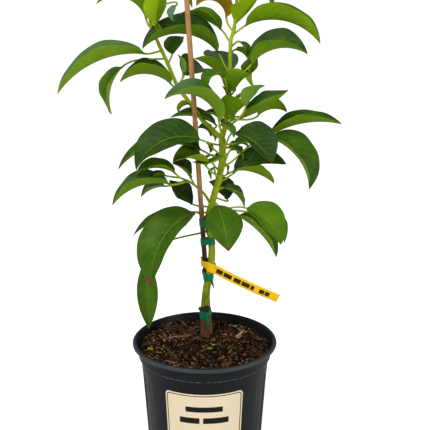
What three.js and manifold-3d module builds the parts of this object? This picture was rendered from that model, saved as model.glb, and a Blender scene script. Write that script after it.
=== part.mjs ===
// A young grafted avocado tree, tied to a bamboo stake in a nursery pot.
// Millimetres, +Z up. The origin is the middle of the pot's flat underside, and the front, with the
// label, faces -Y. Run as an ES module with the npm packages three and manifold-3d.
import * as THREE from "three";
import { mergeVertices } from "three/addons/utils/BufferGeometryUtils.js";
import Module from "manifold-3d";

const wasm = await Module();
wasm.setup();

// ---- Driving dimensions ----
const POT_HEIGHT = 241;
const RIM_DIAMETER = 276;
const RIM_ROLL_HEIGHT = 10; // the rolled lip round the top
const RIM_ROLL_WIDTH = 7;
const COLLAR_DIAMETER = 256; // the straight band under the lip
const COLLAR_HEIGHT = 20;
const COLLAR_TAPER = 1.5; // how much narrower the collar's foot is, in radius
const LEDGE_HEIGHT = 4; // the slope from the wall out to the collar
const SHOULDER_DIAMETER = 244; // the wall where the collar steps in to it
const BASE_DIAMETER = 217;
const POT_WALL = 2.2;
const FOOT_ROUND = 4; // the small round between the underside and the wall
const DRAIN_HOLES = 6;
const DRAIN_HOLE_DIAMETER = 18;
const DRAIN_HOLE_INSET = 10; // from the edge of the underside to each hole
const SOIL_BELOW_RIM = 15;
const SOIL_MOUND = 8;
const LABEL_WIDTH = 138;
const LABEL_HEIGHT = 110;
const LABEL_BELOW_RIM = 58;
const LABEL_CORNER = 8;
const LABEL_THICKNESS = 0.5;
const TRUNK_X = 0;
const TRUNK_Y = 25; // the trunk stands a little behind the middle of the pot
const TRUNK_HEIGHT = 396; // from the soil to the fork
const TRUNK_FOOT_DIAMETER = 17.4;
const TRUNK_TOP_DIAMETER = 11.6;
const TRUNK_DEPTH = 70; // how far the foot goes into the soil
const LEFT_SHOOT_HEIGHT = 265;
const LEFT_SHOOT_DIAMETERS = [8.6, 4.8]; // at its foot and at its tip
const RIGHT_SHOOT_HEIGHT = 283;
const RIGHT_SHOOT_DIAMETERS = [8.8, 4.8];
const TWIG_HEIGHT = 55;
const TWIG_DIAMETERS = [5.6, 3.4];
const TWIG_SHARE = 0.67; // where on the trunk the twig grows
const LEAF_SIZE = 1; // share of the full-grown lengths and widths below
const PETIOLE_DIAMETER = 2.8;
const MIDRIB_THICKNESS = 1.8; // at the foot of the blade
const STAKE_DIAMETER = 9.6;
const STAKE_HEIGHT = 690; // above the soil
const STAKE_DEPTH = 120;
const STAKE_FOOT = [10, 41]; // where it enters the soil
const STAKE_LEAN = [-41, -70]; // how far its top stands from its foot, right and back
const TIE_HEIGHT = 14;
const TIE_THICKNESS = 0.9;
const TIE_CLEARANCE = 0.9;
const TIE_LEVELS = [48, 128, 196, 235]; // each tie's height above the soil
const TAG_LEVEL = 148;
const TAG_WIDTH = 17;
const TAG_LENGTH = 132;
const TAG_THICKNESS = 0.8;
const TAG_SLOPE = 24; // degrees below level
const TAG_CLEARANCE = 2.6;
const TAG_FORWARD = 14; // how far its free end stands in front of its start
const GAP = 0.3; // air between pieces that touch

const ROUND = 72; // sides of the pot
const radians = THREE.MathUtils.degToRad;
const vector = (x, y, z) => new THREE.Vector3(x, y, z);
const SOIL_LEVEL = POT_HEIGHT - SOIL_BELOW_RIM + SOIL_MOUND;

// ---- Solids ----
// Skins a row of rings, each with as many corners, into one closed solid.
// With closed = true the last ring joins the first, and otherwise both ends are capped.
function loft(rings, closed = false) {
  const sides = rings[0].length;
  const positions = rings.flat().flatMap((p) => [p.x, p.y, p.z]);
  const index = [];
  const spans = closed ? rings.length : rings.length - 1;
  for (let i = 0; i < spans; i++) {
    const here = i * sides;
    const next = ((i + 1) % rings.length) * sides;
    for (let j = 0; j < sides; j++) {
      const k = (j + 1) % sides;
      index.push(here + j, here + k, next + k, here + j, next + k, next + j);
    }
  }
  if (!closed) {
    const last = (rings.length - 1) * sides;
    for (let j = 1; j < sides - 1; j++) {
      index.push(0, j + 1, j, last, last + j, last + j + 1);
    }
  }
  const geometry = new THREE.BufferGeometry();
  geometry.setAttribute("position", new THREE.Float32BufferAttribute(positions, 3));
  geometry.setIndex(index);
  return geometry;
}

function solid(geometry) {
  const bare = geometry.clone();
  bare.deleteAttribute("normal");
  bare.deleteAttribute("uv");
  const merged = mergeVertices(bare, 1e-4);
  const build = (triVerts) =>
    new wasm.Manifold(
      new wasm.Mesh({
        numProp: 3,
        vertProperties: new Float32Array(merged.attributes.position.array),
        triVerts: new Uint32Array(triVerts),
      }),
    );
  const made = build(merged.index.array);
  if (made.volume() > 0) return made;
  const turned = Array.from(merged.index.array);
  for (let i = 0; i < turned.length; i += 3) {
    [turned[i + 1], turned[i + 2]] = [turned[i + 2], turned[i + 1]];
  }
  return build(turned);
}

function geometryOf(body) {
  const mesh = body.getMesh();
  const geometry = new THREE.BufferGeometry();
  geometry.setAttribute("position", new THREE.BufferAttribute(mesh.vertProperties, 3));
  geometry.setIndex(new THREE.BufferAttribute(mesh.triVerts, 1));
  geometry.computeVertexNormals();
  return geometry;
}

const tree = new THREE.Group();

function addPiece(name, body, colour, roughness, metalness = 0) {
  const material = new THREE.MeshStandardMaterial({ color: colour, roughness, metalness });
  const mesh = new THREE.Mesh(geometryOf(body), material);
  mesh.name = name;
  tree.add(mesh);
}

// A round rod along a list of centres, as thick as radius(share) says at each share of its length.
function rod(centres, radius, sides) {
  const rings = centres.map((centre, i) => {
    const before = centres[Math.max(i - 1, 0)];
    const after = centres[Math.min(i + 1, centres.length - 1)];
    const along = after.clone().sub(before).normalize();
    const across = vector(0, 1, 0).cross(along).normalize();
    const other = along.clone().cross(across);
    const r = radius(i / (centres.length - 1));
    return Array.from({ length: sides }, (_, j) => {
      const turn = (2 * Math.PI * j) / sides;
      return centre
        .clone()
        .addScaledVector(across, r * Math.cos(turn))
        .addScaledVector(other, r * Math.sin(turn));
    });
  });
  return loft(rings);
}

// ---- Pot ----
const rimRadius = RIM_DIAMETER / 2;
const baseRadius = BASE_DIAMETER / 2;
const shoulderRadius = SHOULDER_DIAMETER / 2;
const collarRadius = COLLAR_DIAMETER / 2;
const collarTop = POT_HEIGHT - RIM_ROLL_HEIGHT;
const collarFoot = collarTop - COLLAR_HEIGHT;
const shoulder = collarFoot - LEDGE_HEIGHT;

function outerRadius(z) {
  const share = (z - FOOT_ROUND) / (shoulder - FOOT_ROUND);
  return baseRadius + (shoulderRadius - baseRadius) * THREE.MathUtils.clamp(share, 0, 1);
}

const potProfile = [
  [0, 0],
  [baseRadius - FOOT_ROUND, 0],
  [baseRadius, FOOT_ROUND],
  [shoulderRadius, shoulder],
  [collarRadius - COLLAR_TAPER, collarFoot],
  [collarRadius, collarTop],
  [rimRadius - 1.5, collarTop + 0.5],
  [rimRadius, collarTop + 3],
  [rimRadius, POT_HEIGHT - 3],
  [rimRadius - 2.5, POT_HEIGHT],
  [rimRadius - RIM_ROLL_WIDTH + 1.5, POT_HEIGHT],
  [rimRadius - RIM_ROLL_WIDTH, POT_HEIGHT - 2],
  [collarRadius - POT_WALL, collarTop - 1],
  [collarRadius - COLLAR_TAPER - POT_WALL, collarFoot + 1],
  [shoulderRadius - POT_WALL, shoulder - 1],
  [baseRadius - POT_WALL, FOOT_ROUND + 1],
  [baseRadius - POT_WALL - FOOT_ROUND + 1, POT_WALL],
  [0, POT_WALL],
].map(([r, z]) => new THREE.Vector2(r, z));

function turned(profile, sides) {
  return solid(new THREE.LatheGeometry(profile, sides).rotateX(Math.PI / 2));
}

function drainHole(i) {
  const turn = (2 * Math.PI * (i + 0.5)) / DRAIN_HOLES;
  const radius = DRAIN_HOLE_DIAMETER / 2;
  const reach = baseRadius - radius - DRAIN_HOLE_INSET;
  const hole = new THREE.CylinderGeometry(radius, radius, POT_WALL * 4, 16);
  hole.rotateX(Math.PI / 2);
  hole.translate(reach * Math.cos(turn), reach * Math.sin(turn), 0);
  return solid(hole);
}

let pot = turned(potProfile, ROUND);
for (let i = 0; i < DRAIN_HOLES; i++) pot = pot.subtract(drainHole(i));

// ---- Label: a thin sheet bent round the front of the wall ----
function labelSheet() {
  const top = POT_HEIGHT - LABEL_BELOW_RIM;
  const foot = top - LABEL_HEIGHT;
  const halfTurn = Math.asin(LABEL_WIDTH / 2 / outerRadius((top + foot) / 2));
  const columns = 20;
  const rings = [];
  for (let i = 0; i <= columns; i++) {
    const turn = halfTurn * ((2 * i) / columns - 1);
    const fromEdge = (halfTurn - Math.abs(turn)) * outerRadius(top);
    const short = Math.max(LABEL_CORNER - fromEdge, 0);
    const round = LABEL_CORNER - Math.sqrt(LABEL_CORNER ** 2 - Math.min(short, LABEL_CORNER) ** 2);
    const corner = (z, lift) => {
      const r = outerRadius(z) + GAP + lift;
      return vector(r * Math.sin(turn), -r * Math.cos(turn), z);
    };
    rings.push([
      corner(foot + round, 0),
      corner(top - round, 0),
      corner(top - round, LABEL_THICKNESS),
      corner(foot + round, LABEL_THICKNESS),
    ]);
  }
  return solid(loft(rings));
}

// ---- Stems ----
// Each point of a stem is [share of its height, mm right, mm back]. A catmull-rom curve joins them.
function stemCurve(foot, height, points) {
  const places = points.map(([up, right, back]) =>
    vector(foot.x + right, foot.y + back, foot.z + up * height),
  );
  return new THREE.CatmullRomCurve3(places, false, "centripetal");
}

const trunkFoot = vector(TRUNK_X, TRUNK_Y, SOIL_LEVEL);
const trunkCurve = stemCurve(trunkFoot, TRUNK_HEIGHT, [
  [0, 0, 0],
  [0.13, 0, -2],
  [0.265, 4, -10],
  [0.345, 10, -9],
  [0.44, 14, 0],
  [0.51, 12, 4],
  [0.585, 6, 8],
  [0.675, 14, 5],
  [0.755, 22, 1],
  [0.8, 27, -1],
  [0.9, 33, -6],
  [1, 33, -9],
]);
const fork = trunkCurve.getPointAt(1);
const leftCurve = stemCurve(fork, LEFT_SHOOT_HEIGHT, [
  [0, 0, 0],
  [0.06, -19, 8],
  [0.12, -36, 14],
  [0.24, -59, 15],
  [0.35, -80, 14],
  [0.52, -99, 12],
  [0.64, -113, 10],
  [0.75, -125, 8],
  [0.85, -129, 6],
  [1, -132, 4],
]);
const rightCurve = stemCurve(fork, RIGHT_SHOOT_HEIGHT, [
  [0, 0, 0],
  [0.09, 6, 1],
  [0.225, 9, 0],
  [0.295, 12, -1],
  [0.485, 14, -3],
  [0.635, 15, -4],
  [0.695, 20, -4],
  [0.83, 24, -5],
  [1, 25, -6],
]);
const twigFoot = trunkCurve.getPointAt(TWIG_SHARE);
const twigCurve = stemCurve(twigFoot, TWIG_HEIGHT, [
  [0, 0, 0],
  [0.45, -16, 0],
  [0.67, -29, -2],
  [0.84, -41, -4],
  [1, -59, -6],
]);

const taper = ([foot, tip]) => (share) => THREE.MathUtils.lerp(foot, tip, share) / 2;
const stems = {
  trunk: {
    curve: trunkCurve,
    steps: 24,
    radius: (share) => {
      const taper = Math.min(share * 1.7, 1);
      return THREE.MathUtils.lerp(TRUNK_FOOT_DIAMETER, TRUNK_TOP_DIAMETER, taper) / 2;
    },
  },
  left: { curve: leftCurve, steps: 18, radius: taper(LEFT_SHOOT_DIAMETERS) },
  right: { curve: rightCurve, steps: 16, radius: taper(RIGHT_SHOOT_DIAMETERS) },
  twig: { curve: twigCurve, steps: 8, radius: taper(TWIG_DIAMETERS) },
};

function stemSolid(stem, grow = 0, sides = 10) {
  const { curve, steps, radius } = stems[stem];
  const centres = curve.getSpacedPoints(steps);
  if (stem === "trunk") {
    const deep = trunkFoot.clone();
    deep.z -= TRUNK_DEPTH + grow;
    return solid(rod([deep, ...centres], (share) => radius(Math.max(share - 0.04, 0)) + grow, sides));
  }
  return solid(rod(centres, (share) => radius(share) + grow, sides));
}

function wholeStem(grow) {
  return Object.keys(stems)
    .map((stem) => stemSolid(stem, grow))
    .reduce((all, one) => all.add(one));
}

const wood = wholeStem(0);
const woodClearance = wholeStem(GAP);

// ---- Stake ----
const stakeFoot = vector(STAKE_FOOT[0], STAKE_FOOT[1], SOIL_LEVEL);
function stakeAt(height) {
  const share = height / STAKE_HEIGHT;
  return vector(
    stakeFoot.x + share * STAKE_LEAN[0],
    stakeFoot.y + share * STAKE_LEAN[1],
    stakeFoot.z + height,
  );
}

function stakeSolid(grow) {
  const ends = [stakeAt(-STAKE_DEPTH - grow), stakeAt(STAKE_HEIGHT + grow)];
  return solid(rod(ends, () => STAKE_DIAMETER / 2 + grow, 12));
}

const stake = stakeSolid(0);
const stakeClearance = stakeSolid(GAP);
const heldClear = woodClearance.add(stakeClearance); // what every leaf keeps clear of

// ---- Soil: fills the pot to just under the rim, heaped a little round the trunk ----
const soilEdge = POT_HEIGHT - SOIL_BELOW_RIM;
const insideCollar = collarRadius - COLLAR_TAPER - POT_WALL - GAP;
const soilProfile = [
  [0, POT_WALL + GAP],
  [baseRadius - POT_WALL - FOOT_ROUND, POT_WALL + GAP],
  [baseRadius - POT_WALL - GAP - 0.2, FOOT_ROUND + 2],
  [shoulderRadius - POT_WALL - GAP - 0.2, shoulder - 1],
  [insideCollar - 0.2, collarFoot + 2],
  [insideCollar, soilEdge],
  [insideCollar * 0.7, soilEdge + SOIL_MOUND * 0.45],
  [insideCollar * 0.4, soilEdge + SOIL_MOUND * 0.9],
  [0, SOIL_LEVEL],
].map(([r, z]) => new THREE.Vector2(r, z));
const soil = turned(soilProfile, ROUND).subtract(heldClear);

// ---- Ties: a band of tape drawn tight round the trunk and the stake ----
function trunkAt(height) {
  const z = SOIL_LEVEL + height;
  let low = 0;
  let high = 1;
  for (let i = 0; i < 20; i++) {
    const middle = (low + high) / 2;
    if (trunkCurve.getPointAt(middle).z < z) low = middle;
    else high = middle;
  }
  return { centre: trunkCurve.getPointAt(low), radius: stems.trunk.radius(low) };
}

// The point of a loop round trunk and stake that lies furthest out in one direction.
function loopPoint(height, turn, clearance) {
  const out = vector(Math.cos(turn), Math.sin(turn), 0);
  const trunkHere = trunkAt(height);
  const rounds = [
    { centre: trunkHere.centre, radius: trunkHere.radius },
    { centre: stakeAt(height), radius: STAKE_DIAMETER / 2 },
  ];
  const reach = ({ centre, radius }) => centre.dot(out) + radius;
  const far = reach(rounds[0]) > reach(rounds[1]) ? rounds[0] : rounds[1];
  const point = far.centre.clone().addScaledVector(out, far.radius + clearance);
  point.z = SOIL_LEVEL + height;
  return point;
}

const LOOP_STEPS = 30;
function loop(level, width, clearance, thickness, slope = 0) {
  const rings = [];
  const middle = trunkAt(level).centre;
  for (let i = 0; i < LOOP_STEPS; i++) {
    const turn = (2 * Math.PI * i) / LOOP_STEPS;
    const drop = (loopPoint(level, turn, clearance).x - middle.x) * Math.tan(radians(slope));
    const foot = level - width / 2 - drop;
    const top = level + width / 2 - drop;
    rings.push([
      loopPoint(foot, turn, clearance),
      loopPoint(top, turn, clearance),
      loopPoint(top, turn, clearance + thickness),
      loopPoint(foot, turn, clearance + thickness),
    ]);
  }
  return solid(loft(rings, true));
}

// A thin flat strip that hangs from one point to another, its width lying across the way it faces.
function strip(from, to, wide, thickness) {
  const along = to.clone().sub(from).normalize();
  const faces = vector(0, -1, 0);
  const across = faces.clone().cross(along).normalize();
  const out = along.clone().cross(across).normalize();
  const ring = (p, w) =>
    [[-1, -1], [1, -1], [1, 1], [-1, 1]].map(([a, b]) =>
      p.clone().addScaledVector(across, (a * w) / 2).addScaledVector(out, (b * thickness) / 2),
    );
  return solid(loft([ring(from, wide), ring(to, wide)]));
}

const tieTails = { 1: [5, -26], 2: [7, -20] }; // tie number: how far its tail ends right and down
function tie(level, number) {
  const band = loop(level, TIE_HEIGHT, TIE_CLEARANCE, TIE_THICKNESS);
  const tail = tieTails[number];
  if (!tail) return band;
  const from = loopPoint(level, radians(-70), TIE_CLEARANCE + TIE_THICKNESS / 2);
  const to = from.clone().add(vector(tail[0], -4, tail[1]));
  return band.add(strip(from, to, TIE_HEIGHT * 0.6, TIE_THICKNESS));
}

// ---- Tag: a looped band with one long free end ----
function tag() {
  const band = loop(TAG_LEVEL, TAG_WIDTH, TAG_CLEARANCE, TAG_THICKNESS, TAG_SLOPE);
  const from = loopPoint(TAG_LEVEL, radians(-40), TAG_CLEARANCE + TAG_THICKNESS / 2);
  const middle = trunkAt(TAG_LEVEL).centre;
  from.z -= (from.x - middle.x) * Math.tan(radians(TAG_SLOPE));
  const to = from.clone();
  to.x += TAG_LENGTH * Math.cos(radians(TAG_SLOPE));
  to.y -= TAG_FORWARD;
  to.z -= TAG_LENGTH * Math.sin(radians(TAG_SLOPE));
  return band.add(strip(from, to, TAG_WIDTH, TAG_THICKNESS));
}

// ---- Leaves ----
// A leaf is one grown piece: a petiole and a blade folded along its midrib.
// Each row is [share of the stem's length where it grows,
//   [mm right, back and up from there to the foot of the blade],
//   compass turn of the blade (0 right, 90 back), rise at its foot, droop over its length,
//   length, width, fold of each half above flat, roll about the midrib], turns in degrees.
const leafRows = {
  trunk: [
    [0.54, [-120, -9, -57], 284, -78, 13, 135, 42, 30, 10],
    [0.60, [-25, -10, 15], 218, -5, 93, 179, 82, 12, -10],
    [0.63, [-34, 14, -3], 181, -1, 43, 123, 46, 25, 0],
    [0.66, [-35, 9, 3], 170, 25, -41, 64, 56, 30, -15],
    [0.61, [54, -20, 8], 347, -25, 41, 109, 62, 38, 0],
    [0.64, [68, -43, 18], 340, -11, 65, 96, 62, 20, 25],
    [0.67, [11, -30, 9], 294, -42, 29, 90, 66, 12, 0],
    [0.65, [85, 9, -11], 352, -9, 74, 86, 50, 30, 0],
    [0.71, [26, 32, -13], 134, 44, 32, 56, 58, 20, 0],
    [0.74, [16, 12, 4], 9, -16, 60, 59, 50, 25, 0],
    [0.79, [28, -13, 20], 348, 39, 52, 103, 64, 35, 20],
    [0.81, [39, 14, 12], 358, -3, 38, 70, 50, 25, -20],
    [0.82, [-25, -47, 31], 204, 50, 77, 70, 58, 20, -5],
    [0.86, [88, 1, 56], 346, -12, 77, 129, 80, 25, 10],
    [0.90, [-38, -35, 27], 178, 24, 76, 167, 62, 32, -15],
    [0.95, [21, -26, 36], 325, -1, 55, 96, 80, 20, 10],
    [0.97, [87, 17, 14], 354, 33, 45, 137, 64, 35, 0],
    [0.97, [-40, -59, 24], 190, 22, 92, 139, 76, 25, -30],
    [0.99, [-6, -38, 44], 202, 76, 102, 128, 66, 36, -8],
  ],
  left: [
    [0.08, [7, 10, 7], 184, 35, 50, 88, 40, 30, -10],
    [0.39, [-15, -8, 11], 190, 45, 82, 100, 66, 42, -5],
    [0.41, [12, 12, 19], 53, 35, 70, 64, 58, 20, 30],
    [0.56, [8, 10, 15], 50, 72, 60, 44, 44, 25, 0],
    [0.59, [-80, 26, -19], 201, -42, 67, 94, 68, 15, 0],
    [0.64, [-28, -9, -4], 190, 8, 62, 181, 64, 35, -5],
    [0.78, [-10, -4, 17], 193, 75, 114, 108, 66, 32, 5],
    [0.82, [10, -19, -1], 302, 77, 12, 70, 46, 20, 0],
    [0.85, [5, -18, 12], 231, 84, 18, 49, 34, 25, 0],
    [0.91, [20, 5, 2], 14, 54, 122, 71, 40, 30, 0],
  ],
  right: [
    [0.09, [12, -11, 14], 317, 56, 32, 54, 72, 40, -10],
    [0.11, [27, 5, 6], 353, 19, -26, 102, 60, 40, 5],
    [0.08, [36, -61, 51], 336, 73, 51, 52, 40, 20, -20],
    [0.13, [59, 27, 1], 4, 45, 78, 58, 58, 40, -15],
    [0.28, [9, -7, 9], 317, 60, 33, 53, 64, 40, -10],
    [0.27, [-9, -21, 40], 215, 47, 151, 53, 44, 25, 0],
    [0.31, [-15, 3, 28], 201, 48, 29, 61, 40, 42, 5],
    [0.36, [-11, 34, 11], 111, 58, 52, 68, 66, 15, 10],
    [0.38, [39, -8, 31], 348, 53, 83, 110, 72, 42, 12],
    [0.43, [-21, 13, 34], 189, 52, 96, 153, 78, 40, -10],
    [0.38, [48, 70, 21], 180, -59, 58, 46, 38, 25, 0],
    [0.53, [10, 17, 10], 18, -13, 94, 59, 46, 30, 0],
    [0.62, [-17, 28, 19], 162, 37, 42, 83, 58, 35, 0],
    [0.67, [22, 6, 14], 350, 28, 80, 148, 74, 42, -5],
    [0.69, [-13, 6, 24], 205, 85, 128, 76, 56, 30, -5],
    [0.71, [3, 4, 8], 343, 38, -24, 72, 72, 40, -8],
    [0.81, [13, 19, 29], 16, 37, 123, 70, 50, 30, 0],
  ],
  twig: [
    [0.46, [-17, -3, 23], 197, 60, 38, 46, 48, 25, -20],
    [0.82, [-41, -3, -10], 185, 2, 52, 51, 44, 30, 0],
    [0.79, [-33, -28, 2], 191, 16, 68, 118, 58, 36, -5],
    [0.93, [-12, -21, 15], 186, 39, 80, 80, 44, 32, -5],
  ],
};

const BLADE_SHARES = [0.03, 0.1, 0.22, 0.36, 0.52, 0.68, 0.82, 0.93, 1];
const PETIOLE_STEPS = 5;

// Half the blade's width at a share of its length: full in the middle, drawn out to a point.
function bladeHalfWidth(share, width) {
  return (width / 2) * Math.sin(Math.PI * share ** 0.85) ** 0.8;
}

function heading(turn, rise) {
  return vector(
    Math.cos(rise) * Math.cos(turn),
    Math.cos(rise) * Math.sin(turn),
    Math.sin(rise),
  );
}

// The midrib bends evenly from its rise to its droop, so each short length adds one step of an arc.
function midrib(foot, turn, rise, droop, length) {
  const STEPS = 40;
  const points = [foot.clone()];
  for (let i = 0; i < STEPS; i++) {
    const along = heading(turn, rise - (droop * (i + 0.5)) / STEPS);
    points.push(points[i].clone().addScaledVector(along, length / STEPS));
  }
  return (share) => points[Math.round(share * STEPS)];
}

function leafSolid(stem, row) {
  const [at, [right, back, up], turnDegrees, riseDegrees, droopDegrees, length, width, fold, roll] = row;
  const [turn, rise, droop] = [turnDegrees, riseDegrees, droopDegrees].map(radians);
  const node = stems[stem].curve.getPointAt(at);
  const foot = node.clone().add(vector(right, back, up));
  const start = heading(turn, rise);
  const reach = foot.distanceTo(node);
  const out = vector(right, back, 0).normalize().multiplyScalar(reach * 0.3);
  const petiole = new THREE.CubicBezierCurve3(
    node,
    node.clone().add(out).add(vector(0, 0, up * 0.2)),
    foot.clone().addScaledVector(start, -reach * 0.3),
    foot,
  );
  const side = vector(Math.sin(turn), -Math.cos(turn), 0);
  const rings = [];
  const ring = (centre, along, halfWidth, foldHere, rollHere, thick) => {
    const normal = side.clone().cross(along).normalize();
    const across = side.clone().applyAxisAngle(along, rollHere);
    normal.applyAxisAngle(along, rollHere);
    const lift = halfWidth * Math.sin(foldHere);
    const spread = halfWidth * Math.cos(foldHere);
    rings.push([
      centre.clone().addScaledVector(across, spread).addScaledVector(normal, lift),
      centre.clone().addScaledVector(normal, thick / 2),
      centre.clone().addScaledVector(across, -spread).addScaledVector(normal, lift),
      centre.clone().addScaledVector(normal, -thick / 2),
    ]);
  };
  for (let i = 0; i < PETIOLE_STEPS; i++) {
    const share = i / PETIOLE_STEPS;
    const tangent = petiole.getTangent(share);
    ring(petiole.getPoint(share), tangent, PETIOLE_DIAMETER / 2, 0, radians(roll) * share, PETIOLE_DIAMETER);
  }
  const bladeLength = length * LEAF_SIZE;
  const spine = midrib(foot, turn, rise, droop, bladeLength);
  for (const share of BLADE_SHARES) {
    const along = heading(turn, rise - droop * share);
    const half = Math.max(bladeHalfWidth(share, width * LEAF_SIZE), 0.4);
    const thick = MIDRIB_THICKNESS * (1 - 0.7 * share);
    ring(spine(share), along, half, radians(fold), radians(roll), thick);
  }
  return solid(loft(rings)).subtract(heldClear);
}

// ---- The whole object ----
addPiece("pot", pot, 0x24272a, 0.5);
addPiece("pot_label", labelSheet(), 0xf0e4c8, 0.6);
addPiece("soil", soil, 0x4a3626, 1);
addPiece("trunk", wood, 0x8a9a24, 0.6);
addPiece("bamboo_stake", stake, 0xb98a55, 0.6);
TIE_LEVELS.forEach((level, i) => addPiece(`tie_${i + 1}`, tie(level, i + 1), 0x007346, 0.4));
addPiece("plant_tag", tag(), 0xffbe0a, 0.5);
const LEAF_GREENS = [0x2f6a1e, 0x3f7a22, 0x56862a, 0x2a5c26];
const stemWords = { trunk: "trunk", left: "left_shoot", right: "right_shoot", twig: "side_twig" };
for (const [stem, rows] of Object.entries(leafRows)) {
  rows.forEach((row, i) => {
    const name = `${stemWords[stem]}_leaf_${String(i + 1).padStart(2, "0")}`;
    addPiece(name, leafSolid(stem, row), LEAF_GREENS[i % LEAF_GREENS.length], 0.45);
  });
}

export default tree;
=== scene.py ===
# %% [markdown]
# # A potted avocado tree
# A young grafted avocado tree, tied to a bamboo stake in a round nursery pot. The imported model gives
# the size and the place of every piece, and this script dresses it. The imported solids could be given
# materials as they are, but their leaves are coarse and their pot has flat facets. So each solid is
# replaced by a finer surface of the same shape, and small things that are too many for the model are
# added.

import bpy
import numpy as np
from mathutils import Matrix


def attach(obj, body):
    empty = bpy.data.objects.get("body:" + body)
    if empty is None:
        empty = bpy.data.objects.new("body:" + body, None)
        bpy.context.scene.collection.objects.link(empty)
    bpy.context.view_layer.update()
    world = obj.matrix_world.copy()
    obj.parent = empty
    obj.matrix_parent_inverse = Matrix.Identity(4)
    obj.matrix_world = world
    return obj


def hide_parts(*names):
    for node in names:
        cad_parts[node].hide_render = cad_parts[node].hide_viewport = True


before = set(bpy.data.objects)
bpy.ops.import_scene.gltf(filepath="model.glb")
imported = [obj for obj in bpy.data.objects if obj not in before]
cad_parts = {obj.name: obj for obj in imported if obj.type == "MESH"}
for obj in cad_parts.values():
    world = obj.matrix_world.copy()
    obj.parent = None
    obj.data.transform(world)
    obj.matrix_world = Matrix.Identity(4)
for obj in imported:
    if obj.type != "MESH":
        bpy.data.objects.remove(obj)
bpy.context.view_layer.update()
MM = 0.001

# %% [markdown]
# ## Surfaces
# On a plant everything is a thin sheet, such as a leaf or a band of tape, or a round tube, such as a
# stem. Both could be modelled by hand and thickened by modifiers. Here they come from a grid of points,
# where one parameter runs along the piece and the other across or round it. That way a whole piece is a
# few lines of array sums, its mesh has the density that it needs, and a UV map comes for free.

# %% Surfaces from grids
def unit(vectors):
    """Each vector divided by its own length."""
    return vectors / np.maximum(np.linalg.norm(vectors, axis=-1, keepdims=True), 1e-9)


def smoothstep(low, high, x):
    """0 below low, 1 above high, and 3t^2 - 2t^3 between them."""
    t = np.clip((x - low) / (high - low), 0, 1)
    return t * t * (3 - 2 * t)


def bell(x, width):
    """1 at 0, and a bell curve that has fallen to 1/e at this width."""
    return np.exp(-((x / width) ** 2))


def circle(sides):
    """Even turns round a full circle, without its end."""
    return np.linspace(0, 2 * np.pi, sides, endpoint=False)


def stacked(*parts):
    """Points or pairs from their parts, each spread over the same grid."""
    return np.stack(np.broadcast_arrays(*parts), axis=-1)


def about_axis(r, turn, z):
    """Points at a radius, a turn from the front and a height."""
    return stacked(r * np.sin(turn), -r * np.cos(turn), z)


def noise_2d(x, y, seed, size=64):
    """Random values at whole-number places, blended by smoothstep between them, from -1 to 1."""
    table = np.random.default_rng(seed).uniform(-1, 1, (size, size))
    i, j = np.floor(x).astype(int), np.floor(y).astype(int)
    u, v = smoothstep(0, 1, x - i), smoothstep(0, 1, y - j)
    at = lambda a, b: table[(i + a) % size, (j + b) % size]
    near = at(0, 0) * (1 - u) + at(1, 0) * u
    far = at(0, 1) * (1 - u) + at(1, 1) * u
    return near * (1 - v) + far * v


def in_scene(name, data):
    """A new object of the scene."""
    made = bpy.data.objects.new(name, data)
    bpy.context.scene.collection.objects.link(made)
    return made


def make_mesh(name, vertices, faces, uv=None, point_values=None, face_values=None):
    """An object from vertices in millimetres, with named values on its points or faces."""
    mesh = bpy.data.meshes.new(name)
    mesh.from_pydata((vertices * MM).tolist(), [], [list(f) for block in faces for f in block.tolist()])
    if uv is not None:
        corner = np.empty(len(mesh.loops), dtype=np.int32)
        mesh.loops.foreach_get("vertex_index", corner)
        layer = mesh.uv_layers.new(name="UVMap")
        layer.data.foreach_set("uv", uv[corner].astype(np.float32).ravel())
    for domain, values in (("POINT", point_values or {}), ("FACE", face_values or {})):
        for key, array in values.items():
            kind = "FLOAT_COLOR" if array.ndim == 2 else "FLOAT"
            field = "color" if array.ndim == 2 else "value"
            attribute = mesh.attributes.new(key, kind, domain)
            attribute.data.foreach_set(field, array.astype(np.float32).ravel())
    mesh.polygons.foreach_set("use_smooth", np.ones(len(mesh.polygons), dtype=bool))
    return in_scene(name, mesh)


def ring_faces(rings, sides, closed=False):
    """Quads between neighbouring rings, each ring closed on itself."""
    i = np.arange(rings if closed else rings - 1)[:, None]
    j = np.arange(sides)[None, :]
    here, after = i * sides, ((i + 1) % rings) * sides
    k = (j + 1) % sides
    return np.stack([here + j, here + k, after + k, after + j], axis=-1).reshape(-1, 4)


def capped(rings, first, last):
    """A closed surface: quads between the rings, and a fan from a point to the ring at each end."""
    count, sides = rings.shape[:2]
    j = np.arange(sides)
    k = (j + 1) % sides
    end = (count - 1) * sides
    first_fan = np.stack([np.full(sides, count * sides), k, j], axis=-1)
    last_fan = np.stack([np.full(sides, count * sides + 1), end + j, end + k], axis=-1)
    vertices = np.concatenate([rings.reshape(-1, 3), [first, last]])
    return vertices, [ring_faces(count, sides), first_fan, last_fan]


def tube(centres, radius, sides):
    """Rings of the given radius square to a path, closed by a point at each end.

    A frame is carried along the path: across is the level direction nearest the first one, and the
    other direction is square to it and to the path."""
    along = unit(np.gradient(centres, axis=0))
    across = unit(np.cross([0.0, 1.0, 0.0], along))
    other = np.cross(along, across)
    turn = circle(sides)
    radius = np.asarray(radius, float)
    r = np.broadcast_to(radius[:, None] if radius.ndim == 1 else radius, (len(centres), sides))
    rings = (
        centres[:, None]
        + (r * np.cos(turn))[..., None] * across[:, None]
        + (r * np.sin(turn))[..., None] * other[:, None]
    )
    return capped(rings, centres[0], centres[-1])


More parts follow.
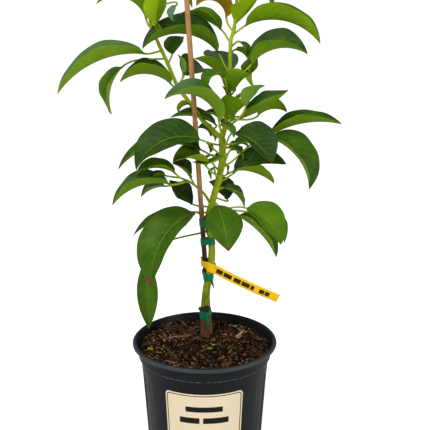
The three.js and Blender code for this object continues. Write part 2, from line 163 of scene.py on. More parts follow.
def sheet(middle, half_thickness, closed=False):
    """A closed skin round a grid of points: one face half a thickness above it and one below.

    The normal at each point is square to both directions of the grid. The rim is walled, and with
    closed the last row meets the first instead."""
    wrapped = np.concatenate([middle[-1:], middle, middle[:1]]) if closed else middle
    along = np.gradient(wrapped, axis=0)[1:-1] if closed else np.gradient(middle, axis=0)
    normal = unit(np.cross(np.gradient(middle, axis=1), along))
    rows, columns = middle.shape[:2]
    lift = normal * np.broadcast_to(half_thickness, (rows, columns))[..., None]
    rings = np.concatenate([middle + lift, (middle - lift)[:, ::-1]], axis=1)
    sides = 2 * columns
    faces = [ring_faces(rows, sides, closed)]
    if not closed:
        j = np.arange(columns - 1)
        foot = np.stack([j + 1, j, sides - 1 - j, sides - 2 - j], axis=-1)
        faces += [foot, foot[:, ::-1] + (rows - 1) * sides]
    return rings.reshape(-1, 3), faces


def both_faces(uv):
    """The UV of a sheet's upper face and of its under face, from a grid of UV."""
    return np.concatenate([uv, uv[:, ::-1]], axis=1).reshape(-1, 2)


def join(parts):
    """Several surfaces as one list of vertices and faces."""
    offsets = np.cumsum([0] + [len(vertices) for vertices, _ in parts])
    faces = [block + offset for (_, blocks), offset in zip(parts, offsets) for block in blocks]
    return np.concatenate([vertices for vertices, _ in parts]), faces


def outward(vertices, faces):
    """The faces turned round where the solid they close has a negative volume."""
    volume = 0.0
    for block in faces:
        a, b, c = (vertices[block[:, i]] for i in (0, 1, 2))
        volume += np.einsum("ij,ij->", a, np.cross(b, c))
        if block.shape[1] == 4:
            volume += np.einsum("ij,ij->", a, np.cross(c, vertices[block[:, 3]]))
    return faces if volume > 0 else [block[:, ::-1] for block in faces]


pieces = {}


def piece(name, surface, material, slot, nodes=(), **values):
    """Makes a piece that rides with the plant, takes a finish and stands for model nodes."""
    vertices, faces = surface
    made = make_mesh(name, vertices, outward(vertices, faces), **values)
    made.data.materials.append(material)
    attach(made, "root")
    if nodes:
        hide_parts(*nodes)
    pieces[name] = made
    return made


print("surfaces ready")

# %% [markdown]
# ## Materials
# A material is a tree of nodes, and most of the nodes in it only add, multiply or mix. Placing and
# linking each one by hand takes many lines and hides the idea. So arithmetic on the outputs of nodes is
# written as plain sums, and each sum adds its own node. The group for mottling serves more than one
# material, and the group for leaf veins keeps the longest pattern apart. Both give only masks and
# heights.

# %% Node helpers
class Value:
    """A number, colour or vector in a node tree. Arithmetic on it adds maths nodes to the tree."""

    def __init__(self, tree, socket):
        self.tree, self.socket = tree, socket

    def maths(self, operation, *others, clamp=False):
        """One maths node, fed by this value and the others."""
        inputs = dict(enumerate((self, *others)))
        return node(self.tree, "ShaderNodeMath", inputs, operation=operation, use_clamp=clamp)[0]

    def __add__(self, other):
        return self.maths("ADD", other)

    def __sub__(self, other):
        return self.maths("SUBTRACT", other)

    def __rsub__(self, other):
        return self.maths("MULTIPLY_ADD", -1.0, other)

    def __mul__(self, other):
        return self.maths("MULTIPLY", other)

    def __truediv__(self, other):
        return self.maths("DIVIDE", other)

    def __abs__(self):
        return self.maths("ABSOLUTE")

    def larger(self, other):
        """The larger of two values."""
        return self.maths("MAXIMUM", other)

    def limited(self):
        """The value held between 0 and 1."""
        return self.maths("ADD", 0.0, clamp=True)

    def step(self, low, high, out_low=0.0, out_high=1.0):
        """A smooth step from out_low where the value is low to out_high where it is high."""
        inputs = {"Value": self, "From Min": low, "From Max": high, "To Min": out_low, "To Max": out_high}
        return node(self.tree, "ShaderNodeMapRange", inputs, interpolation_type="SMOOTHSTEP")[0]

    def mix(self, a, b):
        """Colour a where the value is 0, colour b where it is 1, and a blend between."""
        return node(self.tree, "ShaderNodeMix", {0: self, 6: a, 7: b}, data_type="RGBA")[2]


class Outputs:
    """The outputs of a node as values, by name or number."""

    def __init__(self, tree, made):
        self.tree, self.made = tree, made

    def __getitem__(self, key):
        found = self.made.outputs[key]
        if isinstance(key, slice):
            return [Value(self.tree, socket) for socket in found]
        return Value(self.tree, found)


def plug(tree, value, place):
    """Links a value to an input, or sets the input to a number, colour or vector."""
    if isinstance(value, Value):
        tree.links.new(value.socket, place)
    else:
        place.default_value = (*value, 1) if place.type == "RGBA" else value


def node(tree, kind, inputs=None, **settings):
    """A new node with these settings and inputs."""
    made = tree.nodes.new(kind)
    for key, value in settings.items():
        setattr(made, key, value)
    for key, value in (inputs or {}).items():
        plug(tree, value, made.inputs[key])
    return Outputs(tree, made)


def spots(tree, vector, scale, detail=4.0, roughness=0.6):
    """Soft noise from 0 to 1."""
    inputs = {"Vector": vector, "Scale": scale, "Detail": detail, "Roughness": roughness}
    return node(tree, "ShaderNodeTexNoise", inputs)[0]


def stretched(tree, vector, scale):
    """Coordinates scaled separately along X, Y and Z."""
    return node(tree, "ShaderNodeMapping", {"Vector": vector, "Scale": scale})[0]


def separate(tree, vector):
    """The X, Y and Z of a vector."""
    return node(tree, "ShaderNodeSeparateXYZ", {0: vector})[:3]


def new_material(name):
    """An empty material, its tree and its object coordinates."""
    made = bpy.data.materials.new(name)
    made.use_nodes = True
    return made, made.node_tree, node(made.node_tree, "ShaderNodeTexCoord")["Object"]


def dress(tree, colour, roughness, specular, height=None, distance=0.001, strength=1.0):
    """Gives the tree's shader its colour, roughness and highlight, and bumps from a height."""
    inputs = {"Base Color": colour, "Roughness": roughness, "Specular IOR Level": specular}
    if height is not None:
        bump = {"Height": height, "Distance": distance, "Strength": strength}
        inputs["Normal"] = node(tree, "ShaderNodeBump", bump)[0]
    for key, value in inputs.items():
        plug(tree, value, tree.nodes["Principled BSDF"].inputs[key])


def new_group(name, inputs, outputs):
    """A node group with these inputs and number outputs, and the values of its inputs."""
    tree = bpy.data.node_groups.new(name, "ShaderNodeTree")
    for key, kind in inputs.items():
        tree.interface.new_socket(key, in_out="INPUT", socket_type="NodeSocket" + kind)
    for key in outputs:
        tree.interface.new_socket(key, in_out="OUTPUT", socket_type="NodeSocketFloat")
    return tree, node(tree, "NodeGroupInput")


print("node helpers ready")

# %% [markdown]
# **Veins.** A real leaf has a pale midrib, side veins that sweep towards the tip and a fine net between
# them. They could be an image, but lines worked out from the leaf's own UV map stay sharp at any
# distance and fit every leaf. Across a leaf, 0 is the midrib and 1 the edge. Side veins leave the
# midrib evenly, so they are lines of share minus a power of the distance across, and those of the two
# halves take turns. **Mottling** is noise of two sizes.

# %% Shared node groups
PETIOLE_V = 0.15
VEINS_PER_LEAF, VEIN_SWEEP, VEIN_STAGGER, VEIN_WANDER = 9.0, 2.3, 0.45, 0.35


def vein_group():
    """Masks of the midrib, the side veins and the net between them, and the pillow between veins."""
    tree, given = new_group(
        "leaf_veins", {"UV": "Vector", "Position": "Vector"}, ["Share", "Midrib", "Side", "Net", "Height"]
    )
    u, v, _ = separate(tree, given["UV"])
    signed = u * 2.0 - 1.0
    across = abs(signed)
    share = (v - PETIOLE_V) / (1 - PETIOLE_V)
    stagger = signed.maths("GREATER_THAN", 0.0) * VEIN_STAGGER
    wander = (spots(tree, given["Position"], 60.0) - 0.5) * VEIN_WANDER
    phase = share * VEINS_PER_LEAF - across.maths("POWER", 1.25) * VEIN_SWEEP + stagger + wander
    near = phase.maths("PINGPONG", 0.5)
    side = (1.0 - near / (0.11 - across * 0.06)).limited()
    midrib = (1.0 - across / (0.055 - share * 0.025)).limited()
    cells = node(tree, "ShaderNodeTexVoronoi", {"Vector": given["Position"], "Scale": 420.0},
                 feature="DISTANCE_TO_EDGE")
    net = cells["Distance"].step(0.0, 0.16, 1.0, 0.0)
    height = near * (1.2 - across) - side * 0.35 - net * 0.06 - midrib * 0.5
    masks = {"Share": share, "Midrib": midrib, "Side": side, "Net": net, "Height": height}
    node(tree, "NodeGroupOutput", masks)
    return tree


def mottle_group():
    """Two sizes of soft noise."""
    tree, given = new_group("mottle", {"Position": "Vector", "Scale": "Float"}, ["Broad", "Fine"])
    broad = spots(tree, given["Position"], given["Scale"])
    fine = spots(tree, given["Position"], given["Scale"] * 9.0, 2.0)
    node(tree, "NodeGroupOutput", {"Broad": broad, "Fine": fine})
    return tree


def mottled(tree, place, scale):
    """The mottling group placed in a material."""
    return node(tree, "ShaderNodeGroup", {"Position": place, "Scale": scale}, node_tree=MOTTLE)


def attribute(tree, name):
    """A named number of the mesh."""
    return node(tree, "ShaderNodeAttribute", attribute_name=name)["Fac"]


VEINS = vein_group()
MOTTLE = mottle_group()
print("node groups", VEINS.name, MOTTLE.name)

# %% [markdown]
# ** Leaf.** The upper face of the real leaf is dark and a little glossy, and the under face is paler and
# dull. All leaves could have materials of their own, but one material that reads values from the mesh
# keeps them alike. Each leaf carries how light it is, how grey with a painted sheen, how bronze with
# youth, and how far its tip has browned. The painted sheen is a bluish-grey highlight, mostly on the
# upper face. The veins are pale lines, and the leaf swells a little between them.

# %% Leaf material
TOP_DARK, TOP_LIGHT = (0.010, 0.043, 0.005), (0.115, 0.27, 0.004)
UNDER_DARK, UNDER_LIGHT = (0.105, 0.225, 0.003), (0.27, 0.44, 0.004)
# The first colour here is a painted grey sheen, mixed into the green of the leaf's upper face.
PAINTED_SHEEN, BRONZE = (0.11, 0.22, 0.13), (0.50, 0.17, 0.012)
VEIN, STALK, DRY = (0.30, 0.43, 0.04), (0.42, 0.57, 0.02), (0.17, 0.065, 0.02)


def leaf_material():
    """Light, painted sheen and age pick the green, veins and stalk lie over it, and tip and flecks dry out.
    """
    made, tree, place = new_material("avocado_leaf")
    uv = node(tree, "ShaderNodeUVMap", uv_map="UVMap")[0]
    veins = node(tree, "ShaderNodeGroup", {"UV": uv, "Position": place}, node_tree=VEINS)
    mottle = mottled(tree, place, 28.0)
    look = node(tree, "ShaderNodeAttribute", attribute_name="look")
    light, grey, bronze = node(tree, "ShaderNodeSeparateColor", {0: look["Color"]})[:3]
    brown, under = look["Alpha"], attribute(tree, "underside")
    light = (light + mottle["Broad"] - 0.5).limited()
    top = (light * 0.85 - 0.06).limited().mix(TOP_DARK, TOP_LIGHT)
    green = under.mix(top, light.mix(UNDER_DARK, UNDER_LIGHT))
    # The look's second value mixes in a painted grey sheen, weaker on the under face.
    green = bronze.mix((grey * (1.0 - under * 0.7)).mix(green, PAINTED_SHEEN), BRONZE)
    lines = (veins["Side"] * 0.2).larger(veins["Midrib"] * 0.5).larger(veins["Net"] * 0.08)
    stalk = veins["Share"].step(-0.03, 0.02, 0.9, 0.0)
    colour = stalk.mix(lines.mix(green, VEIN), STALK)
    ragged = mottle["Broad"] * 0.12 + veins["Share"] + brown * 0.16
    at_tip = ragged.step(1.07, 1.095)
    fleck = spots(tree, place, 55.0, 2.0).step(0.70, 0.76)
    dry = (at_tip.larger(fleck) * brown * 1.6).limited()
    roughness = under * 0.2 + mottle["Fine"] * 0.12 + dry * 0.3 + 0.32
    height = veins["Height"] * (1.0 - under * 2.0) + mottle["Fine"] * 0.08
    dress(tree, dry.mix(colour, DRY), roughness, 0.07, height, 0.0011, 0.75)
    return made


LEAF = leaf_material()
print(LEAF.name, len(LEAF.node_tree.nodes), "nodes")

# %% [markdown]
# **Bark.** The young trunk is brown and ridged at its foot up to the dark scar of the graft, and
# yellow-green above, with small dark flecks. Height above the soil picks the colour, with noise added
# so that the change isn't a straight line. **Cane.** It is dark at the foot, red-brown above the soil
# and tan from the ties up. Noise drawn out along the cane gives its grain, which a plain colour would
# lack.

# %% Wood materials
SOIL_TOP = 0.234
GRAFT_SCAR = SOIL_TOP + 0.074


def bark_material():
    """Height picks brown, scar or green, with streaks and flecks over it."""
    made, tree, place = new_material("young_bark")
    height = separate(tree, place)[2]
    streaks = spots(tree, stretched(tree, place, (260.0, 260.0, 45.0)), 1.0, 5.0)
    patches = spots(tree, place, 38.0, 3.0)
    green = patches.step(0.3, 0.7).mix((0.13, 0.19, 0.005), (0.33, 0.40, 0.010))
    green = streaks.step(0.55, 0.75, 0.0, 0.35).mix(green, (0.12, 0.14, 0.02))
    green = height.step(SOIL_TOP + 0.14, SOIL_TOP + 0.30, 0.0, 0.6).mix(green, (0.42, 0.52, 0.008))
    tall = stretched(tree, place, (1.0, 1.0, 0.55))
    cells = node(tree, "ShaderNodeTexVoronoi", {"Vector": tall, "Scale": 230.0})
    fleck = cells["Distance"].step(0.10, 0.2, 0.55, 0.0)
    edge = patches * 0.024 + height
    woody = edge.step(GRAFT_SCAR - 0.026, GRAFT_SCAR + 0.004, 1.0, 0.0)
    brown = streaks.step(0.35, 0.65).mix((0.055, 0.024, 0.010), (0.19, 0.085, 0.038))
    colour = woody.mix(fleck.mix(green, (0.10, 0.07, 0.02)), brown)
    scar = abs(edge - GRAFT_SCAR).step(0.005, 0.011, 0.95, 0.0)
    grain = (streaks - fleck * 0.4) * (woody * 0.9 + 0.25)
    dress(tree, scar.mix(colour, (0.022, 0.013, 0.008)), 0.55, 0.15, grain, 0.0012)
    return made


def cane_material():
    """Height picks the colour, and noise drawn out along the cane is its grain."""
    made, tree, place = new_material("bamboo_cane")
    height = separate(tree, place)[2]
    streaks = spots(tree, stretched(tree, place, (900.0, 900.0, 14.0)), 1.0, 4.0)
    patches = spots(tree, stretched(tree, place, (60.0, 60.0, 16.0)), 1.0, 3.0)
    grain = streaks.step(0.3, 0.7)
    tan = grain.mix((0.34, 0.165, 0.055), (0.56, 0.31, 0.115))
    tan = patches.step(0.55, 0.75, 0.0, 0.5).mix(tan, (0.30, 0.15, 0.06))
    dark = grain.mix((0.022, 0.011, 0.007), (0.085, 0.040, 0.020))
    red = grain.mix((0.16, 0.065, 0.028), (0.33, 0.15, 0.07))
    low = height.step(SOIL_TOP + 0.20, SOIL_TOP + 0.33, 1.0, 0.0)
    foot = height.step(SOIL_TOP + 0.11, SOIL_TOP + 0.15, 1.0, 0.0)
    dress(tree, low.mix(tan, foot.mix(dark, red)), 0.5, 0.15, streaks, 0.0004)
    return made


BARK = bark_material()
CANE = cane_material()
print(BARK.name, CANE.name)

# %% [markdown]
# ** Pot, tape, tag, label and mix.** The pot is satin black plastic with a pale scuff on its ledge, and
# its lip is painted paler as a highlight. Its marks are noise, because real ones have no pattern. The
# label has a thin dark border and plain bars, and the tag carries plain bars too. They are worked out as
# distances from rectangles, so that their edges are clean without an image. The mix runs from wet
# black-brown to dry tan, by a ramp of colours.

# %% Pot, tape, tag, label and mix materials
LABEL_WIDTH, LABEL_HEIGHT, LABEL_UV_SPAN = 138.0, 110.0, 200.0
BORDER_INSET, BORDER_CORNER = 3.4, 6.0
LABEL_BARS = [(-32, 32, 18, 29), (-43, -8, -6, 6), (-2, 43, -6, 6), (-26, 26, -28, -23)]
TAG_BARS = [(0.22, 0.72, low, high) for low, high in (
    (0.03, 0.13), (0.145, 0.27), (0.30, 0.41), (0.425, 0.55), (0.565, 0.62), (0.70, 0.78), (0.79, 0.86))]
MIX_STOPS = [(0.0, (0.003, 0.0016, 0.001)), (0.36, (0.022, 0.011, 0.006)), (0.64, (0.13, 0.066, 0.028)),
             (0.86, (0.33, 0.19, 0.085)), (1.0, (0.55, 0.38, 0.20))]
LEDGE = 0.2095


def pot_material():
    """Broad noise near black, a painted highlight on the lip by radius, scuffs on the ledge, and marks."""
    made, tree, place = new_material("black_pot")
    mottle = mottled(tree, place, 14.0)
    height = separate(tree, place)[2]
    flat = stretched(tree, place, (1.0, 1.0, 0.0))
    radius = node(tree, "ShaderNodeVectorMath", {0: flat}, operation="LENGTH")["Value"]
    black = mottle["Broad"].mix((0.0035, 0.0043, 0.0052), (0.0085, 0.0102, 0.0122))
    at_ledge = abs(height - LEDGE).step(0.0008, 0.0026, 1.0, 0.0)
    scuff = at_ledge * spots(tree, place, 160.0, 5.0, 0.7).step(0.42, 0.62) * 0.85
    # The outer lip is painted paler and bluish, as a highlight.
    black = radius.step(0.1335, 0.1375).mix(black, (0.042, 0.051, 0.058))
    flattened = stretched(tree, place, (40.0, 40.0, 260.0))
    marks = spots(tree, flattened, 1.0, 6.0, 0.7).step(0.64, 0.74, 0.0, 0.10)
    colour = scuff.larger(marks).mix(black, (0.24, 0.24, 0.23))
    dress(tree, colour, mottle["Fine"] * 0.16 + scuff * 0.3 + 0.34, 0.16, mottle["Fine"], 0.0004, 0.5)
    return made


def bars(x, y, rectangles, soft):
    """1 inside any of the rectangles and 0 outside, with soft edges."""
    ink = x * 0.0
    for low_x, high_x, low_y, high_y in rectangles:
        inside = x.step(low_x - soft, low_x + soft) * x.step(high_x - soft, high_x + soft, 1.0, 0.0)
        inside = inside * y.step(low_y - soft, low_y + soft) * y.step(high_y - soft, high_y + soft, 1.0, 0.0)
        ink = ink.larger(inside)
    return ink


def label_material():
    """The sheet's UV is its place in millimetres over its span, from its middle."""
    made, tree, place = new_material("cream_label")
    uv = node(tree, "ShaderNodeUVMap", uv_map="UVMap")[0]
    x, y = ((value - 0.5) * LABEL_UV_SPAN for value in separate(tree, uv)[:2])
    edge = BORDER_INSET + BORDER_CORNER
    dx = (abs(x) - (LABEL_WIDTH / 2 - edge)).larger(0.0)
    dy = (abs(y) - (LABEL_HEIGHT / 2 - edge)).larger(0.0)
    border = abs((dx * dx + dy * dy).maths("SQRT") - BORDER_CORNER).step(0.65, 1.15, 1.0, 0.0)
    grain = spots(tree, place, 900.0, 3.0)
    cream = grain.mix((0.84, 0.70, 0.47), (0.90, 0.78, 0.56))
    ink = border.larger(bars(x, y, LABEL_BARS, 0.5))
    dress(tree, ink.mix(cream, (0.012, 0.011, 0.009)), 0.55, 0.1, grain, 0.0001)
    return made


def tag_material():
    """The strip's UV runs along it in V, and across it in U."""
    made, tree, place = new_material("yellow_tag")
    x, y, _ = separate(tree, node(tree, "ShaderNodeUVMap", uv_map="UVMap")[0])
    broad = mottled(tree, place, 40.0)["Broad"]
    yellow = broad.mix((0.97, 0.50, 0.003), (1.0, 0.64, 0.006))
    ink = bars(x, y, TAG_BARS, 0.006)
    dress(tree, ink.mix(yellow, (0.03, 0.025, 0.01)), 0.42, 0.15, broad, 0.001, 0.5)
    return made


def tape_material():
    """Noise flattened into wrinkles picks the green and gives the bump."""
    made, tree, place = new_material("green_tape")
    wrinkles = spots(tree, stretched(tree, place, (60.0, 60.0, 700.0)), 1.0, 4.0)
    green = wrinkles.step(0.3, 0.7).mix((0.0, 0.105, 0.042), (0.001, 0.24, 0.095))
    dress(tree, green, 0.33, 0.2, wrinkles, 0.0012)
    return made


def mix_material():
    """Each chip's own value says how dry it is."""
    made, tree, place = new_material("bark_mix")
    grain = spots(tree, place, 420.0, 5.0, 0.7)
    dryness = grain * 0.3 + attribute(tree, "dryness") - 0.15
    ramp = node(tree, "ShaderNodeValToRGB", {0: dryness})
    elements = ramp.made.color_ramp.elements
    for stop, _ in MIX_STOPS[1:-1]:
        elements.new(stop)
    for element, (stop, colour) in zip(elements, MIX_STOPS):
        element.position, element.color = stop, (*colour, 1)
    dress(tree, ramp[0], 0.85, 0.05, grain, 0.0012)
    return made


def litter_material():
    """Soft noise between two browns."""
    made, tree, place = new_material("dead_leaf")
    mottle = spots(tree, place, 120.0)
    dress(tree, mottle.step(0.3, 0.7).mix((0.03, 0.017, 0.009), (0.13, 0.078, 0.042)), 0.8, 0.05, mottle)
    return made


POT, PAPER, VINYL, TAPE = pot_material(), label_material(), tag_material(), tape_material()
MIX, LITTER_LEAF = mix_material(), litter_material()
print([material.name for material in (POT, PAPER, VINYL, TAPE, MIX, LITTER_LEAF)])

# %% [markdown]
# ## The pot
# The pot is one moulded shell. Its wall tapers, steps out over a ledge to a collar, and ends in a
# rolled lip. It could be cut from a cylinder with loops and bevels, but a pot is turned: a profile of
# radius and height, carried round the axis, gives the rounds exactly. Shallow arched flutes are pressed
# into its sides and back by taking a little from the radius. The six drain holes are cut with a Boolean
# modifier, because a turned grid has no place for a hole.

# %% Pot
POT_HEIGHT, RIM_RADIUS, COLLAR_RADIUS = 241.0, 138.0, 128.0
SHOULDER_RADIUS, BASE_RADIUS, POT_WALL = 122.0, 108.5, 2.2
COLLAR_TOP, COLLAR_FOOT, SHOULDER, FOOT_ROUND = 231.0, 211.0, 207.0, 4.0
HOLE_CIRCLE, HOLE_RADIUS = 89.5, 9.0
FLUTES = [65, 90, 115, 140, 165]
FLUTE_HALF_WIDTH, FLUTE_TOP, FLUTE_FOOT, FLUTE_DEPTH = 20.0, 190.0, 12.0, 1.5


def outer_radius(z):
    """The plain wall's radius, which grows evenly from the foot to the shoulder."""
    share = np.clip((z - FOOT_ROUND) / (SHOULDER - FOOT_ROUND), 0, 1)
    return BASE_RADIUS + (SHOULDER_RADIUS - BASE_RADIUS) * share


def arc(centre, radius, start, end, steps):
    """Points on a circle, in degrees from the +R direction towards +Z."""
    turn = np.radians(np.linspace(start, end, steps))
    return stacked(centre[0] + radius * np.cos(turn), centre[1] + radius * np.sin(turn))


def pot_profile():
    """Radius and height down the inside, from the axis out and up over the lip and back."""
    wall_z = np.linspace(FOOT_ROUND, SHOULDER, 120)
    collar_z = np.linspace(COLLAR_FOOT, COLLAR_TOP - 0.5, 40)
    share = (collar_z - COLLAR_FOOT) / (COLLAR_TOP - COLLAR_FOOT)
    ridges = 0.5 * bell(collar_z - 226.5, 1.0)
    collar = stacked(COLLAR_RADIUS - 1.5 + 1.5 * share + ridges, collar_z)
    roll = 4.6
    outside = np.concatenate([
        arc((BASE_RADIUS - FOOT_ROUND, FOOT_ROUND), FOOT_ROUND, -90, 0, 8)[:-1],
        stacked(outer_radius(wall_z), wall_z),
        [(SHOULDER_RADIUS + 1.2, SHOULDER + 1.6), (COLLAR_RADIUS - 2.6, COLLAR_FOOT - 1.2)],
        collar,
        [(COLLAR_RADIUS + 0.6, COLLAR_TOP), (RIM_RADIUS - 3.4, COLLAR_TOP + 0.4)],
        arc((RIM_RADIUS - roll, POT_HEIGHT - roll), roll, -20, 90, 12),
        arc((RIM_RADIUS - 5.4, POT_HEIGHT - 1.8), 1.8, 90, 180, 5),
    ])
    inside = np.array([
        (COLLAR_RADIUS - POT_WALL, COLLAR_TOP - 1), (COLLAR_RADIUS - 1.5 - POT_WALL, COLLAR_FOOT + 1),
        (SHOULDER_RADIUS - POT_WALL, SHOULDER - 1), (BASE_RADIUS - POT_WALL, FOOT_ROUND + 1),
        (BASE_RADIUS - POT_WALL - 3, POT_WALL), (60.0, POT_WALL),
    ])
    return np.concatenate([[(60.0, 0.0)], outside, inside])


def flute_depth(turn, z):
    """How deep the wall is pressed in: full inside an arch-topped panel, with a soft step at its edge."""
    depth = np.zeros(np.broadcast(turn, z).shape)
    for centre in FLUTES + [-f for f in FLUTES]:
        away = (turn - np.radians(centre) + np.pi) % (2 * np.pi) - np.pi
        x = away * outer_radius(z)
        above = np.maximum(z - (FLUTE_TOP - FLUTE_HALF_WIDTH * 0.8), 0) * 1.25
        inside = np.minimum(FLUTE_HALF_WIDTH - np.hypot(x, above), z - FLUTE_FOOT)
        depth = np.maximum(depth, FLUTE_DEPTH * smoothstep(0, 2.6, inside))
    return depth


def pot_surface(sides=420):
    """The profile turned about the axis, less the depth of the flutes on the wall."""
    profile = pot_profile()
    turn = circle(sides)
    radius, z = profile[:, :1], profile[:, 1:]
    on_wall = (radius > outer_radius(z) - 0.5) & (z > 6) & (z < 205)
    r = radius - np.where(on_wall, flute_depth(turn[None, :], z), 0)
    return capped(about_axis(r, turn, z), (0, 0, 0), (0, 0, POT_WALL))


pot = piece("nursery_pot", pot_surface(), POT, "pot_plastic", ["pot"])
hole_turns = np.radians(60 * np.arange(6) + 30)
hole_x, hole_y = HOLE_CIRCLE * np.cos(hole_turns), HOLE_CIRCLE * np.sin(hole_turns)
rods = stacked(hole_x[:, None], hole_y[:, None], [-4.0, 0.5, 7.0])
holes = [tube(rod, HOLE_RADIUS, 32) for rod in rods]
vertices, faces = join(holes)
cutter = make_mesh("hole_cutter", vertices, outward(vertices, faces))
cut = pot.modifiers.new("holes", "BOOLEAN")
cut.object, cut.operation, cut.solver = cutter, "DIFFERENCE", "EXACT"
bpy.context.view_layer.update()
drilled = bpy.data.meshes.new_from_object(pot.evaluated_get(bpy.context.evaluated_depsgraph_get()))
pot.modifiers.clear()
pot.data = drilled
bpy.data.objects.remove(cutter)
print("pot", len(pot.data.polygons), "faces")

# %% [markdown]
# ## The label
# The label is a sheet of paper that clings to the wall. A plane with a Shrinkwrap modifier would also
# bend round it, but would take over the wall's flat facets. Here the sheet is worked out at a small
# distance from the true round. Its corners are round: near each side the sheet gets shorter by the
# height of a quarter circle.

# %% Label
LABEL_DROP = 58.0


def label_surface(columns=64, rows=40, corner=8.0, thickness=0.5):
    """A sheet just off the plain wall, shorter near its sides by a quarter circle's height."""
    top = POT_HEIGHT - LABEL_DROP
    foot = top - LABEL_HEIGHT
    half_turn = np.arcsin(LABEL_WIDTH / 2 / outer_radius((top + foot) / 2))
    turn = half_turn * np.sin(np.linspace(-np.pi / 2, np.pi / 2, columns))
    short = np.clip(corner - (half_turn - np.abs(turn)) * outer_radius(top), 0, corner)
    pulled = corner - np.sqrt(corner**2 - short**2)
    share = np.linspace(0, 1, rows)[:, None]
    z = foot + pulled + share * (top - foot - 2 * pulled)
    r = outer_radius(z) + 0.3 + thickness / 2
    surface = sheet(about_axis(r, turn, z), thickness / 2)
    uv = stacked(turn / half_turn * LABEL_WIDTH / 2, z - (top + foot) / 2) / LABEL_UV_SPAN + 0.5
    return surface, both_faces(uv)


surface, uv = label_surface()
label = piece("front_label", surface, PAPER, "label", ["pot_label"], uv=uv)
print("label", len(label.data.polygons), "faces")

# %% [markdown]
# ## The stems
# The trunk, its two shoots and the side twig are living wood that bends a little at each leaf. A Bezier
# curve with a bevel would do, but a stem also has to say where its leaves grow. So each stem runs
# through a few points on a centripetal Catmull-Rom curve, which passes through all of them without
# loops, and can be asked for the point at any share of its length.

# %% Stems
SOIL_LEVEL = 234.0
TRUNK_FOOT = np.array([0.0, 25.0, SOIL_LEVEL])
GRAFT_HEIGHT = 58.0
TRUNK_POINTS = [(0, 0, 0), (0.13, 0, -2), (0.265, 4, -10), (0.345, 10, -9), (0.44, 14, 0), (0.51, 12, 4),
                (0.585, 6, 8), (0.675, 14, 5), (0.755, 22, 1), (0.8, 27, -1), (0.9, 33, -6), (1, 33, -9)]
LEFT_POINTS = [(0, 0, 0), (0.06, -19, 8), (0.12, -36, 14), (0.24, -59, 15), (0.35, -80, 14), (0.52, -99, 12),
               (0.64, -113, 10), (0.75, -125, 8), (0.85, -129, 6), (1, -132, 4)]
RIGHT_POINTS = [(0, 0, 0), (0.09, 6, 1), (0.225, 9, 0), (0.295, 12, -1), (0.485, 14, -3), (0.635, 15, -4),
                (0.695, 20, -4), (0.83, 24, -5), (1, 25, -6)]
TWIG_POINTS = [(0, 0, 0), (0.45, -16, 0), (0.67, -29, -2), (0.84, -41, -4), (1, -59, -6)]


def curve_through(points, per_span=40):
    """A centripetal Catmull-Rom curve, with each end point mirrored past the end."""
    p = np.concatenate([[2 * points[0] - points[1]], points, [2 * points[-1] - points[-2]]])
    a, b, c, d = p[:-3], p[1:-2], p[2:-1], p[3:]
    gap = lambda u, v: np.sqrt(np.linalg.norm(v - u, axis=-1))[:, None]
    ab, bc, cd = gap(a, b), gap(b, c), gap(c, d)
    leave = ((b - a) / ab - (c - a) / (ab + bc) + (c - b) / bc) * bc
    reach = ((c - b) / bc - (d - b) / (bc + cd) + (d - c) / cd) * bc
    t = np.linspace(0, 1, per_span, endpoint=False)[None, :, None]
    b, c, leave, reach = (q[:, None] for q in (b, c, leave, reach))
    h = (2 * t**3 - 3 * t**2 + 1) * b + (t**3 - 2 * t**2 + t) * leave
    h = h + (3 * t**2 - 2 * t**3) * c + (t**3 - t**2) * reach
    return np.concatenate([h.reshape(-1, 3), points[-1:]])


class Stem:
    """A stem that can be asked for the point at any share of its length."""

    def __init__(self, foot, height, points):
        up, right, back = np.array(points, float).T
        places = foot + stacked(right, back, up * height)
        self.path = curve_through(places)
        steps = np.linalg.norm(np.diff(self.path, axis=0), axis=-1)
        self.length = steps.sum()
        self.run = np.concatenate([[0], np.cumsum(steps)]) / self.length

    def at(self, share):
        """The point at a share of the length, between the two nearest points of the path."""
        return stacked(*(np.interp(share, self.run, column) for column in self.path.T))


trunk = Stem(TRUNK_FOOT, 396, TRUNK_POINTS)
left_shoot = Stem(trunk.at(1.0), 265, LEFT_POINTS)
right_shoot = Stem(trunk.at(1.0), 283, RIGHT_POINTS)
side_twig = Stem(trunk.at(0.67), 55, TWIG_POINTS)
STEMS = {"trunk": trunk, "left": left_shoot, "right": right_shoot, "twig": side_twig}
RADII = {"trunk": (8.7, 5.8), "left": (4.3, 2.4), "right": (4.4, 2.4), "twig": (2.8, 1.7)}
print({key: round(float(stem.length)) for key, stem in STEMS.items()}, "mm long")
